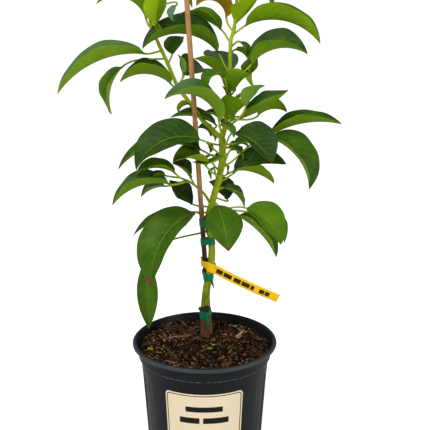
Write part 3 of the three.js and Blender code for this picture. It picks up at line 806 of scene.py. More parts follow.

# %% [markdown]
# ## The leaves
# Leaves could be scattered at random, but a plant is known by where its leaves hang. So there is one
# row per leaf: the share of the stem where it grows, the way to the foot of its blade (right, back,
# up), its compass turn, its rise and droop, its length and width, the fold of each half, its roll, and
# its look (light, grey of a painted sheen, bronze, browned tip). Turns are in degrees. The small leaves
# that fill the crown between them start with the name of their stem.

# %% Leaf rows
LEAVES = {
    "trunk": [
        (0.54, (-120, -9, -57), 284, -78, 13, 135, 42, 30, 10, (0.5, 0, 0, 0)),
        (0.6, (-25, -10, 15), 218, -5, 93, 179, 82, 12, -10, (0.42, 0, 0, 0.7)),
        (0.63, (-34, 14, -3), 181, -1, 43, 123, 46, 25, 0, (0.3, 0, 0, 0)),
        (0.66, (-35, 9, 3), 170, 25, -41, 64, 56, 30, -15, (0.05, 0, 0, 0)),
        (0.61, (54, -20, 8), 347, -25, 41, 109, 62, 38, 0, (0.4, 0, 0, 0)),
        (0.64, (68, -43, 18), 340, -11, 65, 96, 62, 20, 25, (0.7, 0, 0, 0)),
        (0.67, (11, -30, 9), 294, -42, 29, 90, 66, 12, 0, (0.5, 0, 0, 0.6)),
        (0.65, (85, 9, -11), 352, -9, 74, 86, 50, 30, 0, (0.55, 0, 0, 0)),
        (0.71, (26, 32, -13), 134, 44, 32, 56, 58, 20, 0, (0.1, 0, 0, 0)),
        (0.74, (16, 12, 4), 9, -16, 60, 59, 50, 25, 0, (0.4, 0, 0, 0)),
        (0.79, (28, -13, 20), 348, 39, 52, 103, 64, 35, 20, (0.2, 0, 0, 0)),
        (0.81, (39, 14, 12), 358, -3, 38, 70, 50, 25, -20, (0.6, 0, 0, 0.5)),
        (0.82, (-25, -47, 31), 204, 50, 77, 70, 58, 20, -5, (0.6, 0, 0.05, 0)),
        (0.86, (88, 1, 56), 346, -12, 77, 129, 80, 25, 10, (0.35, 0, 0, 0)),
        (0.9, (-38, -35, 27), 178, 24, 76, 167, 62, 32, -15, (0.2, 0, 0, 0)),
        (0.95, (21, -26, 36), 325, -1, 55, 96, 80, 20, 10, (0.05, 0.05, 0, 0)),
        (0.97, (87, 17, 14), 354, 33, 45, 137, 64, 35, 0, (0.28, 0, 0, 0.3)),
        (0.97, (-40, -59, 24), 190, 22, 92, 139, 76, 25, -30, (0.15, 0, 0, 0.4)),
        (0.99, (-6, -38, 44), 202, 76, 102, 128, 66, 36, -8, (0.5, 0.4, 0, 0)),
    ],
    "left": [
        (0.08, (7, 10, 7), 184, 35, 50, 88, 40, 30, -10, (0.1, 0, 0, 0)),
        (0.39, (-15, -8, 11), 190, 45, 82, 100, 66, 42, -5, (0.2, 0, 0, 0)),
        (0.41, (12, 12, 19), 53, 35, 70, 64, 58, 20, 30, (0.4, 0, 0, 0)),
        (0.56, (8, 10, 15), 50, 72, 60, 44, 44, 25, 0, (0.5, 0, 0, 0)),
        (0.59, (-80, 26, -19), 201, -42, 67, 94, 68, 15, 0, (0.75, 0, 0, 0)),
        (0.64, (-28, -9, -4), 190, 8, 62, 181, 64, 35, -5, (0.55, 0.3, 0, 0.1)),
        (0.78, (-10, -4, 17), 193, 75, 114, 108, 66, 32, 5, (0.3, 0, 0, 0)),
        (0.82, (10, -19, -1), 302, 77, 12, 70, 46, 20, 0, (0.9, 0, 0, 0)),
        (0.85, (5, -18, 12), 231, 84, 18, 49, 34, 25, 0, (0.5, 0, 1, 0)),
        (0.91, (20, 5, 2), 14, 54, 122, 71, 40, 30, 0, (0.55, 0, 0.1, 0)),
    ],
    "right": [
        (0.09, (12, -11, 14), 317, 56, 32, 54, 72, 40, -10, (0.3, 0, 0, 0)),
        (0.11, (27, 5, 6), 353, 19, -26, 102, 60, 40, 5, (0.35, 0.1, 0, 0)),
        (0.08, (36, -61, 51), 336, 73, 51, 52, 40, 20, -20, (0.3, 0.6, 0, 0)),
        (0.13, (59, 27, 1), 4, 45, 78, 58, 58, 40, -15, (0.7, 0, 0, 0)),
        (0.28, (9, -7, 9), 317, 60, 33, 53, 64, 40, -10, (0.3, 0, 0, 0)),
        (0.27, (-9, -21, 40), 215, 47, 151, 53, 44, 25, 0, (0.5, 0, 0, 0.4)),
        (0.31, (-15, 3, 28), 201, 48, 29, 61, 40, 42, 5, (0.3, 0, 0, 0)),
        (0.36, (-11, 34, 11), 111, 58, 52, 68, 66, 15, 10, (0.3, 0.7, 0, 0)),
        (0.38, (39, -8, 31), 348, 53, 83, 110, 72, 42, 12, (0.2, 0, 0, 0)),
        (0.43, (-21, 13, 34), 189, 52, 96, 153, 78, 40, -10, (0.12, 0.05, 0, 0)),
        (0.38, (48, 70, 21), 180, -59, 58, 46, 38, 25, 0, (0.75, 0, 0, 0)),
        (0.53, (10, 17, 10), 18, -13, 94, 59, 46, 30, 0, (0.4, 0, 0, 0)),
        (0.62, (-17, 28, 19), 162, 37, 42, 83, 58, 35, 0, (0.75, 0, 0, 0)),
        (0.67, (22, 6, 14), 350, 28, 80, 148, 74, 42, -5, (0.42, 0, 0, 0.1)),
        (0.69, (-13, 6, 24), 205, 85, 128, 76, 56, 30, -5, (0.45, 0, 0.6, 0)),
        (0.71, (3, 4, 8), 343, 38, -24, 72, 72, 40, -8, (0.9, 0, 0, 0)),
        (0.81, (13, 19, 29), 16, 37, 123, 70, 50, 30, 0, (0.35, 0.6, 0, 0)),
    ],
    "twig": [
        (0.46, (-17, -3, 23), 197, 60, 38, 46, 48, 25, -20, (0.1, 0, 0, 0)),
        (0.82, (-41, -3, -10), 185, 2, 52, 51, 44, 30, 0, (0.35, 0.5, 0, 0)),
        (0.79, (-33, -28, 2), 191, 16, 68, 118, 58, 36, -5, (0.25, 0.15, 0, 0)),
        (0.93, (-12, -21, 15), 186, 39, 80, 80, 44, 32, -5, (0.7, 0, 0, 0)),
    ],
}

SMALL_LEAVES = [
    ("left", 0.42, (11, 0, 21), 203, 86, 23, 37, 20, 35, 0, (0.3, 0.9, 0, 0)),
    ("left", 0.14, (-28, -18, 38), 192, 8, 97, 29, 28, 25, 0, (0.8, 0, 0, 0)),
    ("right", 0.08, (-6, -27, 11), 196, 71, 82, 44, 28, 30, 0, (0.1, 0.4, 0, 0)),
    ("right", 0.24, (17, 8, -6), 342, 78, 31, 28, 24, 25, 0, (0.9, 0, 0, 0)),
    ("right", 0.27, (-3, -5, 3), 192, 84, 40, 22, 14, 30, 0, (0.3, 0.5, 0, 0)),
    ("right", 0.43, (27, 2, 0), 344, 73, 55, 32, 32, 35, 0, (0.1, 0.5, 0, 0)),
    ("right", 0.04, (-5, -32, 21), 337, -15, 52, 34, 30, 35, 0, (0.5, 0.1, 0, 0)),
    ("left", 0.07, (-6, 18, -11), 171, 70, 93, 30, 44, 20, 0, (0.25, 0, 0, 0)),
    ("left", 0.05, (-8, 24, -6), 0, -43, 53, 17, 20, 25, 0, (0.4, 0, 0, 0)),
    ("trunk", 0.95, (13, 22, -1), 15, -3, 79, 23, 40, 20, 0, (0.8, 0.2, 0, 0)),
    ("trunk", 0.96, (26, 17, -2), 6, 51, 116, 25, 46, 20, 0, (0.5, 0, 0, 0)),
    ("trunk", 0.92, (-27, 2, 22), 336, -48, 50, 18, 18, 20, 0, (0.9, 0, 0, 0)),
    ("trunk", 0.90, (-22, 1, 8), 180, -38, 0, 14, 14, 15, 0, (0.4, 0.9, 0, 0)),
    ("trunk", 0.82, (7, -47, 51), 186, -47, -73, 62, 26, 25, 0, (0.6, 0.1, 0, 0)),
    ("trunk", 0.84, (-13, 8, 21), 6, 16, 105, 27, 38, 20, 0, (0.05, 0, 0, 0)),
    ("trunk", 0.90, (8, 15, -13), 0, -67, 45, 20, 24, 20, 0, (0.8, 0.1, 0, 0)),
    ("trunk", 0.80, (-11, 2, 22), 180, -65, 41, 22, 22, 20, 0, (0.5, 0.3, 0, 0)),
    ("left", 0.90, (50, -32, 8), 217, -47, 60, 30, 24, 25, 0, (0.3, 0.8, 0, 0)),
    ("twig", 1.00, (-25, -14, 7), 184, 12, 76, 36, 28, 30, 0, (0.4, 0, 0, 0)),
    ("trunk", 0.87, (20, -2, 31), 349, 4, 91, 30, 36, 25, 0, (0.7, 0, 0, 0)),
    ("right", 0.14, (47, 13, 9), 0, 65, 85, 21, 22, 25, 0, (0.9, 0, 0, 0)),
    ("right", 0.59, (17, 8, 8), 340, -36, 60, 30, 26, 30, 0, (0.5, 0, 0, 0)),
    ("left", 0.65, (-7, -7, 25), 199, 94, 61, 29, 30, 30, 0, (0.7, 0, 0.1, 0)),
]

NODE_WORDS = {"trunk": "trunk", "left": "left_shoot", "right": "right_shoot", "twig": "side_twig"}
print(sum(len(rows) for rows in LEAVES.values()), "leaves and", len(SMALL_LEAVES), "small ones")

# %% [markdown]
# **Blade.** An avocado leaf is a pointed oval that folds up along its midrib, droops towards its tip
# and has a gently waving edge. One flat leaf could be bent by modifiers and copied, but then all would
# bend alike. Here the midrib is an even arc. Half the width at a share s of the length is sin(pi
# s^0.85)^0.8, drawn in towards the point. Each half climbs from the midrib at its fold angle and bends
# a little more on its way out, and its edge waves. The petiole is the same sheet, narrow and thick.

# %% Leaf surface
PETIOLE_ROWS, BLADE_ROWS, COLUMNS = 12, 46, 19
FULLNESS, WAVE, ARC_STEPS = 1.1, 1.6, 200


def heading(turn, rise):
    """The unit vector at a compass turn and a rise above level."""
    return stacked(np.cos(rise) * np.cos(turn), np.cos(rise) * np.sin(turn), np.sin(rise))


def turned_about(vectors, axis, angle):
    """Vectors turned about unit axes, by Rodrigues' formula."""
    angle = np.asarray(angle)[..., None]
    along = np.einsum("...i,...i->...", vectors, axis)[..., None]
    turned = vectors * np.cos(angle) + np.cross(axis, vectors) * np.sin(angle)
    return turned + axis * along * (1 - np.cos(angle))


def leaf_surface(stem, row, seed):
    """The petiole and the blade as one thin skin, with its UV.

    The direction across the leaf is level along the blade. It is carried back down the petiole, and at
    each step the share of it along the petiole is taken away, so that it stays square to the path."""
    at, offset, turn, rise, droop, length, width, fold, roll, look = row
    turn, rise, droop, fold, roll = np.radians([turn, rise, droop, fold, roll])
    rng = np.random.default_rng(seed)
    node_at = stem.at(at)
    offset = np.array(offset, float)
    foot = node_at + offset
    start = heading(turn, rise)
    reach = np.linalg.norm(offset)
    out = unit(offset * (1, 1, 0)) * reach * 0.3
    t = np.linspace(0, 1, PETIOLE_ROWS, endpoint=False)[:, None]
    b, c = node_at + out + (0, 0, offset[2] * 0.2), foot - start * reach * 0.3
    petiole = (1 - t) ** 3 * node_at + 3 * (1 - t) ** 2 * t * b + 3 * (1 - t) * t**2 * c + t**3 * foot
    petiole_along = unit(np.gradient(petiole, axis=0))

    share = np.linspace(0, 1, BLADE_ROWS)
    fine = (np.arange(ARC_STEPS) + 0.5) / ARC_STEPS
    steps = heading(turn, rise - droop * fine) * length / ARC_STEPS
    path = np.concatenate([[foot], foot + np.cumsum(steps, axis=0)])
    spine = stacked(*(np.interp(share, np.linspace(0, 1, ARC_STEPS + 1), column) for column in path.T))
    spine_along = heading(turn, rise - droop * share)

    centre = np.concatenate([petiole, spine])
    along = np.concatenate([petiole_along, spine_along])
    sides = [np.array([np.sin(turn), -np.cos(turn), 0.0])]
    for tangent in petiole_along[::-1]:
        sides.append(unit(sides[-1] - tangent * (sides[-1] @ tangent)))
    side = np.array(sides[:0:-1] + [sides[0]] * BLADE_ROWS)
    twist = rng.uniform(-0.25, 0.25)
    roll_here = np.concatenate([roll * t[:, 0], roll + twist * share**1.5])
    across = turned_about(side, along, roll_here)
    normal = turned_about(unit(np.cross(side, along)), along, roll_here)

    half = FULLNESS * width / 2 * np.sin(np.pi * share**0.85) ** 0.8 * (1 - 0.22 * share**5)
    half = np.concatenate([1.9 - 0.5 * t[:, 0], np.maximum(half, 0.35)])
    blade = np.concatenate([np.zeros(PETIOLE_ROWS), smoothstep(0.0, 0.07, share)])[:, None]
    a = np.sin(np.linspace(-np.pi / 2, np.pi / 2, COLUMNS))[None, :]
    size = np.abs(a)
    soft = np.sqrt(size**2 + 0.004) - np.sqrt(0.004)
    bend = fold + rng.uniform(-0.1, 0.25) * size + 1e-3
    spread = a * half[:, None] * (blade * np.cos(bend) + 1 - blade)
    lift = half[:, None] * soft * np.sin(bend) * blade
    s = np.concatenate([np.zeros(PETIOLE_ROWS), share])[:, None]
    phase = rng.uniform(0, 2 * np.pi, 3)
    waves = np.sin(2 * np.pi * 1.7 * s + phase[0] + np.where(a > 0, phase[1], phase[2]))
    waves = waves + 0.25 * np.sin(2 * np.pi * 4.1 * s + 3 * phase[1] + np.where(a > 0, 1.3, 0.0))
    wave = WAVE * width / 60 * waves * size**1.6 * blade * np.sin(np.pi * s) ** 0.6
    quilt = 0.25 * np.sin(2 * np.pi * (9 * s - 2.3 * size**1.25)) * size * (1 - size) * 2 * blade
    raised = normal[:, None] * (lift + wave + quilt)[..., None]
    middle = centre[:, None] + across[:, None] * spread[..., None] + raised
    round_half = np.sqrt(np.maximum(1 - a**2, 0.02))
    rib = 0.95 * (1 - 0.8 * s) * bell(a * half[:, None], 1.3)
    thick = (1 - blade) * (1.8 - 0.5 * s) * round_half + blade * (0.16 + rib)
    surface = sheet(middle, thick)

    v = np.concatenate([PETIOLE_V * t[:, 0], PETIOLE_V + (1 - PETIOLE_V) * share])[:, None]
    uv = both_faces(stacked(0.5 + 0.5 * a, v))
    under = np.tile(np.arange(2 * COLUMNS) >= COLUMNS - 1, len(centre) - 1).astype(float)
    under = np.concatenate([under, np.ones(2 * (COLUMNS - 1))])
    looks = np.tile(np.array(look, float), (len(surface[0]), 1))
    return surface, {"uv": uv, "point_values": {"look": looks}, "face_values": {"underside": under}}


for number, (key, rows) in enumerate(LEAVES.items()):
    for i, row in enumerate(rows):
        surface, values = leaf_surface(STEMS[key], row, 100 * number + i)
        name = f"leaf_{key}_{i + 1:02d}"
        piece(name, surface, LEAF, "leaf", [f"{NODE_WORDS[key]}_leaf_{i + 1:02d}"], **values)
for i, (key, *row) in enumerate(SMALL_LEAVES):
    surface, values = leaf_surface(STEMS[key], row, 500 + i)
    piece(f"leaf_small_{i + 1:02d}", surface, LEAF, "leaf", **values)
print("leaf faces", sum(len(p.data.polygons) for n, p in pieces.items() if n.startswith("leaf_")))

# %% [markdown]
# **Stem skins.** Each stem is a round tube that swells where a leaf grows. The trunk widens at its foot
# and at the graft, and below the soil it runs on as a plain rod. Cut stubs are short tubes. The
# swellings could be separate pieces, but as a bell-shaped rise of the radius they have no seam.

# %% Stem skins
STEM_STEPS = {"trunk": 200, "left": 130, "right": 130, "twig": 40}
STUBS = [(GRAFT_HEIGHT / trunk.length, (-11, -4, 4), 4.6, 3.2), (0.66, (9, -4, 5), 2.4, 1.7),
         (0.56, (-9, -3, 3), 2.2, 1.5)]


def stem_surface(key, steps, sides=28):
    """A tapered tube, with a bell-shaped swelling at each leaf."""
    stem, (foot, tip) = STEMS[key], RADII[key]
    share = np.linspace(0, 1, steps)
    taper = np.minimum(share * 1.7, 1) if key == "trunk" else share
    radius = foot + (tip - foot) * taper
    places = np.array([row[0] for row in LEAVES[key]])
    swell = bell((share[:, None] - places) * stem.length, 4.0).max(axis=1)
    radius = radius * (1 + 0.16 * swell)
    centres = stem.at(share)
    if key == "trunk":
        radius = radius + 1.6 * np.exp(-(share * stem.length / 16))
        radius = radius * (1 + 0.13 * bell(share * stem.length - GRAFT_HEIGHT, 6.0))
        centres = np.concatenate([[TRUNK_FOOT - (0, 0, 70), TRUNK_FOOT - (0, 0, 2)], centres])
        radius = np.concatenate([[8.0, 10.0], radius])
    turn = circle(sides)
    z = centres[:, 2:]
    uneven = noise_2d(z / 9, 2.5 * np.cos(turn)[None, :] + 9 * (turn > np.pi)[None, :], 5 + len(key))
    lumps = 0.22 * uneven * (3 if key == "trunk" else 1) * np.exp(-np.maximum(z - SOIL_LEVEL, 0) / 120)
    return tube(centres, radius[:, None] + lumps, sides)


def stub(start, end, foot, tip):
    """A short cut-off spur."""
    t = np.linspace(0, 1, 8)[:, None]
    radius = foot + (tip - foot) * t[:, 0] ** 0.6
    return tube(np.array(start) * (1 - t) + np.array(end) * t, radius, 12)


stem_parts = [stem_surface(key, steps) for key, steps in STEM_STEPS.items()]
for share, lean, foot, tip in STUBS:
    stem_parts.append(stub(trunk.at(share), trunk.at(share) + lean, foot, tip))
wood = piece("living_stems", join(stem_parts), BARK, "bark", ["trunk"])
print("stems", len(wood.data.polygons), "faces")

# %% [markdown]
# ## The stake
# The stake is a bamboo cane: a straight tube that narrows slowly, with a raised ring and a small step
# at each joint. A cylinder with loops scaled up at the joints would look machined. As a sum of bell
# curves along the radius, plus a little noise, each joint is soft and slightly uneven.

# %% Stake
STAKE_FOOT, STAKE_LEAN = np.array([10.0, 41.0, SOIL_LEVEL]), np.array([-41.0, -70.0])
STAKE_HEIGHT, STAKE_RADIUS, STAKE_BURIED = 690.0, 4.8, 120.0
CANE_JOINTS = [-60.0, 105, 268, 430, 655]


def stake_at(height):
    """The middle of the cane at a height above the soil."""
    height = np.asarray(height, float)
    flat = STAKE_FOOT[:2] + height[..., None] / STAKE_HEIGHT * STAKE_LEAN
    return np.concatenate([flat, STAKE_FOOT[2] + height[..., None]], axis=-1)


def stake_surface():
    """A straight tube that narrows evenly, with bell curves at the joints and a little noise."""
    height = np.linspace(-STAKE_BURIED, STAKE_HEIGHT, 400)
    away = height[:, None] - np.array(CANE_JOINTS)
    ring = (0.75 * bell(away, 2.0) - 0.35 * bell(away - 5, 3.5)).sum(axis=1)
    radius = STAKE_RADIUS * (1 - 0.06 * (height + STAKE_BURIED) / (STAKE_HEIGHT + STAKE_BURIED)) + ring
    turn = circle(32)
    uneven = 0.12 * noise_2d(height[:, None] / 30, 3 * np.cos(turn)[None, :], 9)
    return tube(stake_at(height), radius[:, None] + uneven, 32)


cane = piece("cane", stake_surface(), CANE, "bamboo", ["bamboo_stake"])
print("cane", len(cane.data.polygons), "faces")

# %% [markdown]
# ## Ties and tag
# Bands of soft green tape are drawn tight round trunk and cane. Cloth simulation could wrap them, but
# would take long and might end differently each time. A tight band follows, in each direction,
# whichever of the two rounds reaches further, so its path is the larger of two reaches, blended where
# they are equal. Two of the bands have a second turn that crosses the first, and a hanging end.

# %% Ties
def trunk_radius(height):
    """The middle of the trunk and its radius at a height above the soil."""
    z = TRUNK_FOOT[2] + np.asarray(height, float)
    share = np.interp(z, trunk.path[:, 2], trunk.run)
    foot, tip = RADII["trunk"]
    return trunk.at(share), foot + (tip - foot) * np.minimum(share * 1.7, 1)


def loop_points(height, turn, clearance):
    """For each direction, the point of the loop that lies furthest out."""
    height, turn = np.broadcast_arrays(height, turn)
    out = stacked(np.cos(turn), np.sin(turn), 0)
    centre, radius = trunk_radius(height)
    other = stake_at(height)
    reach = np.einsum("...i,...i->...", centre, out) + radius
    other_reach = np.einsum("...i,...i->...", other, out) + STAKE_RADIUS
    blend_to = smoothstep(-0.8, 0.8, other_reach - reach)[..., None]
    r = radius[..., None] * (1 - blend_to) + STAKE_RADIUS * blend_to + np.asarray(clearance)[..., None]
    point = centre * (1 - blend_to) + other * blend_to + out * r
    point[..., 2] = TRUNK_FOOT[2] + height
    return point


def tie_surface(level, number, height=14.0, tilt=1.2, clearance=0.75):
    """A band of tape, with a wavy edge and creases along it."""
    turn = circle(120)[:, None]
    share = np.linspace(-0.5, 0.5, 11)[None, :]
    edge = 1 + 0.07 * np.sin(3 * turn + number) + 0.05 * np.sin(7 * turn + 2 * number)
    heights = level + share * height * edge + tilt * np.sin(turn + number)
    creases = 0.25 * np.sin(2 * np.pi * (share * 3.4 + 0.25 * np.sin(2 * turn + number)))
    middle = loop_points(heights, turn, clearance + creases)
    return sheet(middle[:, ::-1], 0.28, closed=True)


def hanging_end(level, right, down, wide):
    """A free end of tape, which narrows, curls and hangs from the band."""
    t = np.linspace(0, 1, 24)[:, None]
    a = np.linspace(-0.5, 0.5, 7)[None, :]
    foot = loop_points(np.array(level), np.radians(-70.0), np.array(1.0))
    path = foot + np.concatenate([right * t, -4 * np.sin(np.pi * t * 0.6), down * t**1.2], axis=-1)
    twist = 0.3 + 1.1 * t
    across = stacked(np.cos(twist), -np.sin(twist), 0.25)
    middle = path[:, None] + across * (a * wide * (1 - 0.35 * t))[..., None]
    middle = middle + stacked(0, -3.0 * a**2, 0)
    return sheet(middle, 0.25)


TIE_LEVELS = [48, 128, 196, 235]
TIE_ENDS = {1: (5, -26), 2: (7, -20)}
for i, level in enumerate(TIE_LEVELS):
    parts = [tie_surface(level, i + 1)]
    if i + 1 in TIE_ENDS:
        parts.append(hanging_end(level, *TIE_ENDS[i + 1], 8.4))
        parts.append(tie_surface(level + 1.5, i + 4, 8.0, 4.5, 1.7))
    piece(f"tape_band_{i + 1}", join(parts), TAPE, "tie_tape", [f"tie_{i + 1}"])
print("ties", [len(pieces[f"tape_band_{i}"].data.polygons) for i in (1, 2, 3, 4)])

# %% [markdown]
# **Tag.** It is a strip of yellow vinyl: a loose loop of the same kind as the ties, and a long free
# end. The loop hangs askew, lower on the right. It could be one strip with an overlap, but two sheets
# that meet in front look the same and keep the free end's own UV map, which the printed bars need.

# %% Tag
TAG_LEVEL, TAG_WIDTH, TAG_LENGTH, TAG_SLOPE = 148.0, 17.0, 132.0, np.radians(24)


def tag_surface():
    """The loose loop, then the long end, which runs down to the right and curls a little."""
    turn = circle(120)[:, None]
    share = np.linspace(-0.5, 0.5, 9)[None, :]
    middle_x = trunk_radius(TAG_LEVEL)[0][0]
    drop = (loop_points(TAG_LEVEL, turn, 2.6)[..., 0] - middle_x) * np.tan(TAG_SLOPE)
    loop = loop_points(TAG_LEVEL + share * TAG_WIDTH - drop, turn, 2.6)
    t = np.linspace(0, 1, 90)[:, None]
    foot = loop_points(np.array(TAG_LEVEL), np.radians(-40.0), np.array(3.0))
    foot[2] -= (foot[0] - middle_x) * np.tan(TAG_SLOPE)
    bow = np.sin(np.pi * t)
    level, steep = np.cos(TAG_SLOPE), np.sin(TAG_SLOPE)
    path = foot + np.concatenate([
        TAG_LENGTH * level * t, -14 * t - 5 * bow, -TAG_LENGTH * steep * t - 0.6 * bow,
    ], axis=-1)
    twist = 0.10 - 0.2 * t
    up = np.concatenate([steep * np.cos(twist), np.sin(twist), level * np.cos(twist)], axis=-1)
    a = np.linspace(-0.5, 0.5, 9)[None, :]
    strip = path[:, None] + up[:, None] * (a * TAG_WIDTH)[..., None]
    surface = join([sheet(loop[:, ::-1], 0.35, closed=True), sheet(strip, 0.35)])
    plain = np.zeros((*loop.shape[:2], 2))
    return surface, np.concatenate([both_faces(plain), both_faces(stacked(a + 0.5, t))])


surface, uv = tag_surface()
band = piece("yellow_band", surface, VINYL, "tag_vinyl", ["plant_tag"], uv=uv)
print("tag", len(band.data.polygons), "faces")

# %% [markdown]
# ## The potting mix
# The pot is filled with bark mix, heaped a little round the trunk. One rough surface alone looks like
# mud, and chips alone leave gaps. So there is a bed with two sizes of lumps, and loose chips lie on it.
# Its height is a formula, so that the chips, the litter and the sprouts can ask for it.

# %% Soil bed
INSIDE = 124.0
SOIL_WALLS = [(122.4, 213.0), (119.0, 206.0), (105.8, 6.0), (102.0, 2.6)]


def soil_height(x, y):
    """The heap round the trunk, plus two sizes of lumps."""
    r = np.hypot(x, y)
    heap = 226 + 7.4 * (1 - smoothstep(20, 118, r))
    return heap + 2.0 * noise_2d(x / 17, y / 17, 21) + 1.4 * noise_2d(x / 6, y / 6, 22)


def soil_surface(rings=70, sides=200):
    """Rings of growing radius at the soil's height, then down the inside of the pot."""
    turn = circle(sides)[None, :]
    r = INSIDE * np.linspace(1 / rings, 1, rings)[:, None]
    top = about_axis(r, turn, 0.0)
    top[..., 2] = soil_height(top[..., 0], top[..., 1])
    walls = [about_axis(radius, turn, z) for radius, z in SOIL_WALLS]
    return capped(np.concatenate([top, *walls]), (0, 0, soil_height(0, 0)), (0, 0, SOIL_WALLS[-1][1]))


surface = soil_surface()
x, y, z = surface[0].T
dryness = 0.3 + 0.25 * noise_2d(x / 9, y / 9, 23) + 0.15 * noise_2d(x / 3, y / 3, 24)
bed = piece("soil_bed", surface, MIX, "bark_mix", ["soil"], point_values={"dryness": dryness})
print("soil", len(bed.data.polygons), "faces")

# %% [markdown]
# **Chips and fibres.** Real bark mix runs from dust to long fibres. A particle system could scatter a
# few models, but joined blocks made as one array are lighter, and each can have its own crooked shape,
# tilt and dryness. There are six layers of them. A layer is a seed, a count, a mean size, a tilt and
# the two numbers of a beta distribution for how dry its chips are.

# %% Chips and fibres
def spin(axis, angles):
    """Rotation matrices about X, Y or Z (0, 1 or 2)."""
    matrix = np.tile(np.eye(3), (len(angles), 1, 1))
    i, j = (axis + 1) % 3, (axis + 2) % 3
    matrix[:, i, i] = matrix[:, j, j] = np.cos(angles)
    matrix[:, j, i], matrix[:, i, j] = np.sin(angles), -np.sin(angles)
    return matrix


def turns(rng, count, tilt):
    """Random rotations: a free compass turn, then a random tilt about two axes."""
    yaw = rng.uniform(0, 2 * np.pi, count)
    a, b = rng.normal(0, tilt, (2, count))
    return spin(2, yaw) @ spin(0, a) @ spin(1, b)


def scattered(rng, count, edge, heart):
    """Places spread evenly over a round patch of the soil, but not inside the trunk."""
    r = np.sqrt(rng.uniform(0, 1, count)) * edge
    turn = rng.uniform(0, 2 * np.pi, count)
    x, y = heart[0] + r * np.cos(turn), heart[1] + r * np.sin(turn)
    keep = np.hypot(x, y - 25) > 12
    return x[keep], y[keep]


CORNERS = np.array([(x, y, z) for z in (-1, 1) for x, y in ((-1, -1), (1, -1), (1, 1), (-1, 1))]) / 2
BLOCK = np.array([(3, 2, 1, 0), (4, 5, 6, 7), (0, 1, 5, 4), (1, 2, 6, 5), (2, 3, 7, 6), (3, 0, 4, 7)])


def chips(seed, count, sizes, tilt, dry, edge=119.0, heart=(0, 0), sink=0.2):
    """Crooked blocks: eight corners, each jittered, then scaled, turned and laid on the soil."""
    rng = np.random.default_rng(seed)
    x, y = scattered(rng, count, edge, heart)
    n = len(x)
    scale = np.exp(rng.normal(0, 0.35, (n, 1))) * rng.uniform(0.75, 1.25, (n, 3)) * sizes
    inward = np.minimum(1, (121 - 0.6 * scale[:, 0]) / np.hypot(x, y))
    x, y = x * inward, y * inward
    blocks = (CORNERS + rng.uniform(-0.17, 0.17, (n, 8, 3))) * scale[:, None]
    blocks = np.einsum("nij,nkj->nki", turns(rng, n, tilt), blocks)
    place = stacked(x, y, soil_height(x, y) + scale[:, 2] * (0.5 - sink) + rng.uniform(0, 1.2, n))
    vertices = (blocks + place[:, None]).reshape(-1, 3)
    faces = (BLOCK[None] + 8 * np.arange(n)[:, None, None]).reshape(-1, 4)
    value = np.clip(rng.beta(*dry, n), 0, 1)
    return vertices, faces, np.repeat(value, 8)


layers = [
    chips(31, 12000, (3.0, 1.9, 1.3), 0.7, (0.9, 2.6)),
    chips(32, 1100, (5.6, 2.8, 1.8), 0.6, (1.1, 2.6)),
    chips(33, 75, (11.0, 5.0, 2.4), 0.4, (1.6, 2.0)),
    chips(34, 1500, (11.0, 0.9, 0.8), 0.35, (1.8, 1.6)),
    chips(35, 80, (26.0, 1.2, 1.1), 0.18, (2.6, 1.5)),
    chips(36, 160, (22.0, 1.1, 1.0), 0.3, (3.2, 1.4), edge=45.0, heart=(-60, 50)),
]
surface = join([(vertices, [faces]) for vertices, faces, _ in layers])
values = np.concatenate([value for _, _, value in layers])
loose = piece("bark_chips", surface, MIX, "bark_mix", point_values={"dryness": values})
loose.data.polygons.foreach_set("use_smooth", np.zeros(len(loose.data.polygons), dtype=bool))
print("chips", len(loose.data.polygons), "faces")

# %% [markdown]
# **Litter and sprouts.** A few dead leaves lie curled on the mix, and small seedlings come up through
# it. They are too small for the big leaf's surface, so a short cupped blade of the same outline, with
# fewer points, serves both.

# %% Litter and sprouts
def small_leaf(foot, turn, rise, length, width, curl, seed):
    """A short cupped blade, with the same outline as a big one."""
    share = np.linspace(0, 1, 16)
    along = heading(turn, rise - curl * share)
    spine = foot + np.concatenate([[(0, 0, 0)], np.cumsum(along[:-1] * length / 15, axis=0)])
    half = np.maximum(width / 2 * np.sin(np.pi * share**0.85) ** 0.8, 0.12)[:, None]
    a = np.linspace(-1, 1, 9)[None, :]
    side = np.array([np.sin(turn), -np.cos(turn), 0])
    normal = unit(np.cross(side, along))
    lift = half * (0.35 * a**2) + 0.06 * length * noise_2d(4 * share[:, None], 2 * a, seed)
    middle = spine[:, None] + side * (a * half)[..., None] + normal[:, None] * lift[..., None]
    vertices, faces = sheet(middle, 0.14)
    uv = stacked(0.5 + 0.5 * a, PETIOLE_V + (1 - PETIOLE_V) * share[:, None])
    return vertices, faces, both_faces(uv)


def gather(name, parts, look, material, slot):
    """Small leaves as one piece."""
    surface = join([(vertices, faces) for vertices, faces, _ in parts])
    looks = np.tile(np.array(look, float), (len(surface[0]), 1))
    uv = np.concatenate([uv for _, _, uv in parts])
    under = np.ones(sum(len(block) for block in surface[1]))
    values = {"uv": uv, "point_values": {"look": looks}, "face_values": {"underside": under}}
    return piece(name, surface, material, slot, **values)


LITTER = [(-62, 62, 2.6, 44, 24), (-78, 48, 0.4, 36, 20), (-44, 78, 3.6, 30, 18), (-30, 50, 5.4, 26, 12),
          (70, 40, 1.0, 30, 16)]
dead = []
for i, (x, y, turn, length, width) in enumerate(LITTER):
    foot = np.array([x, y, soil_height(x, y) + 3.0])
    dead.append(small_leaf(foot, turn, 0.15, length, width, 0.5, 60 + i))
gather("dead_leaves", dead, (0, 0, 0, 0), LITTER_LEAF, "bark_mix")

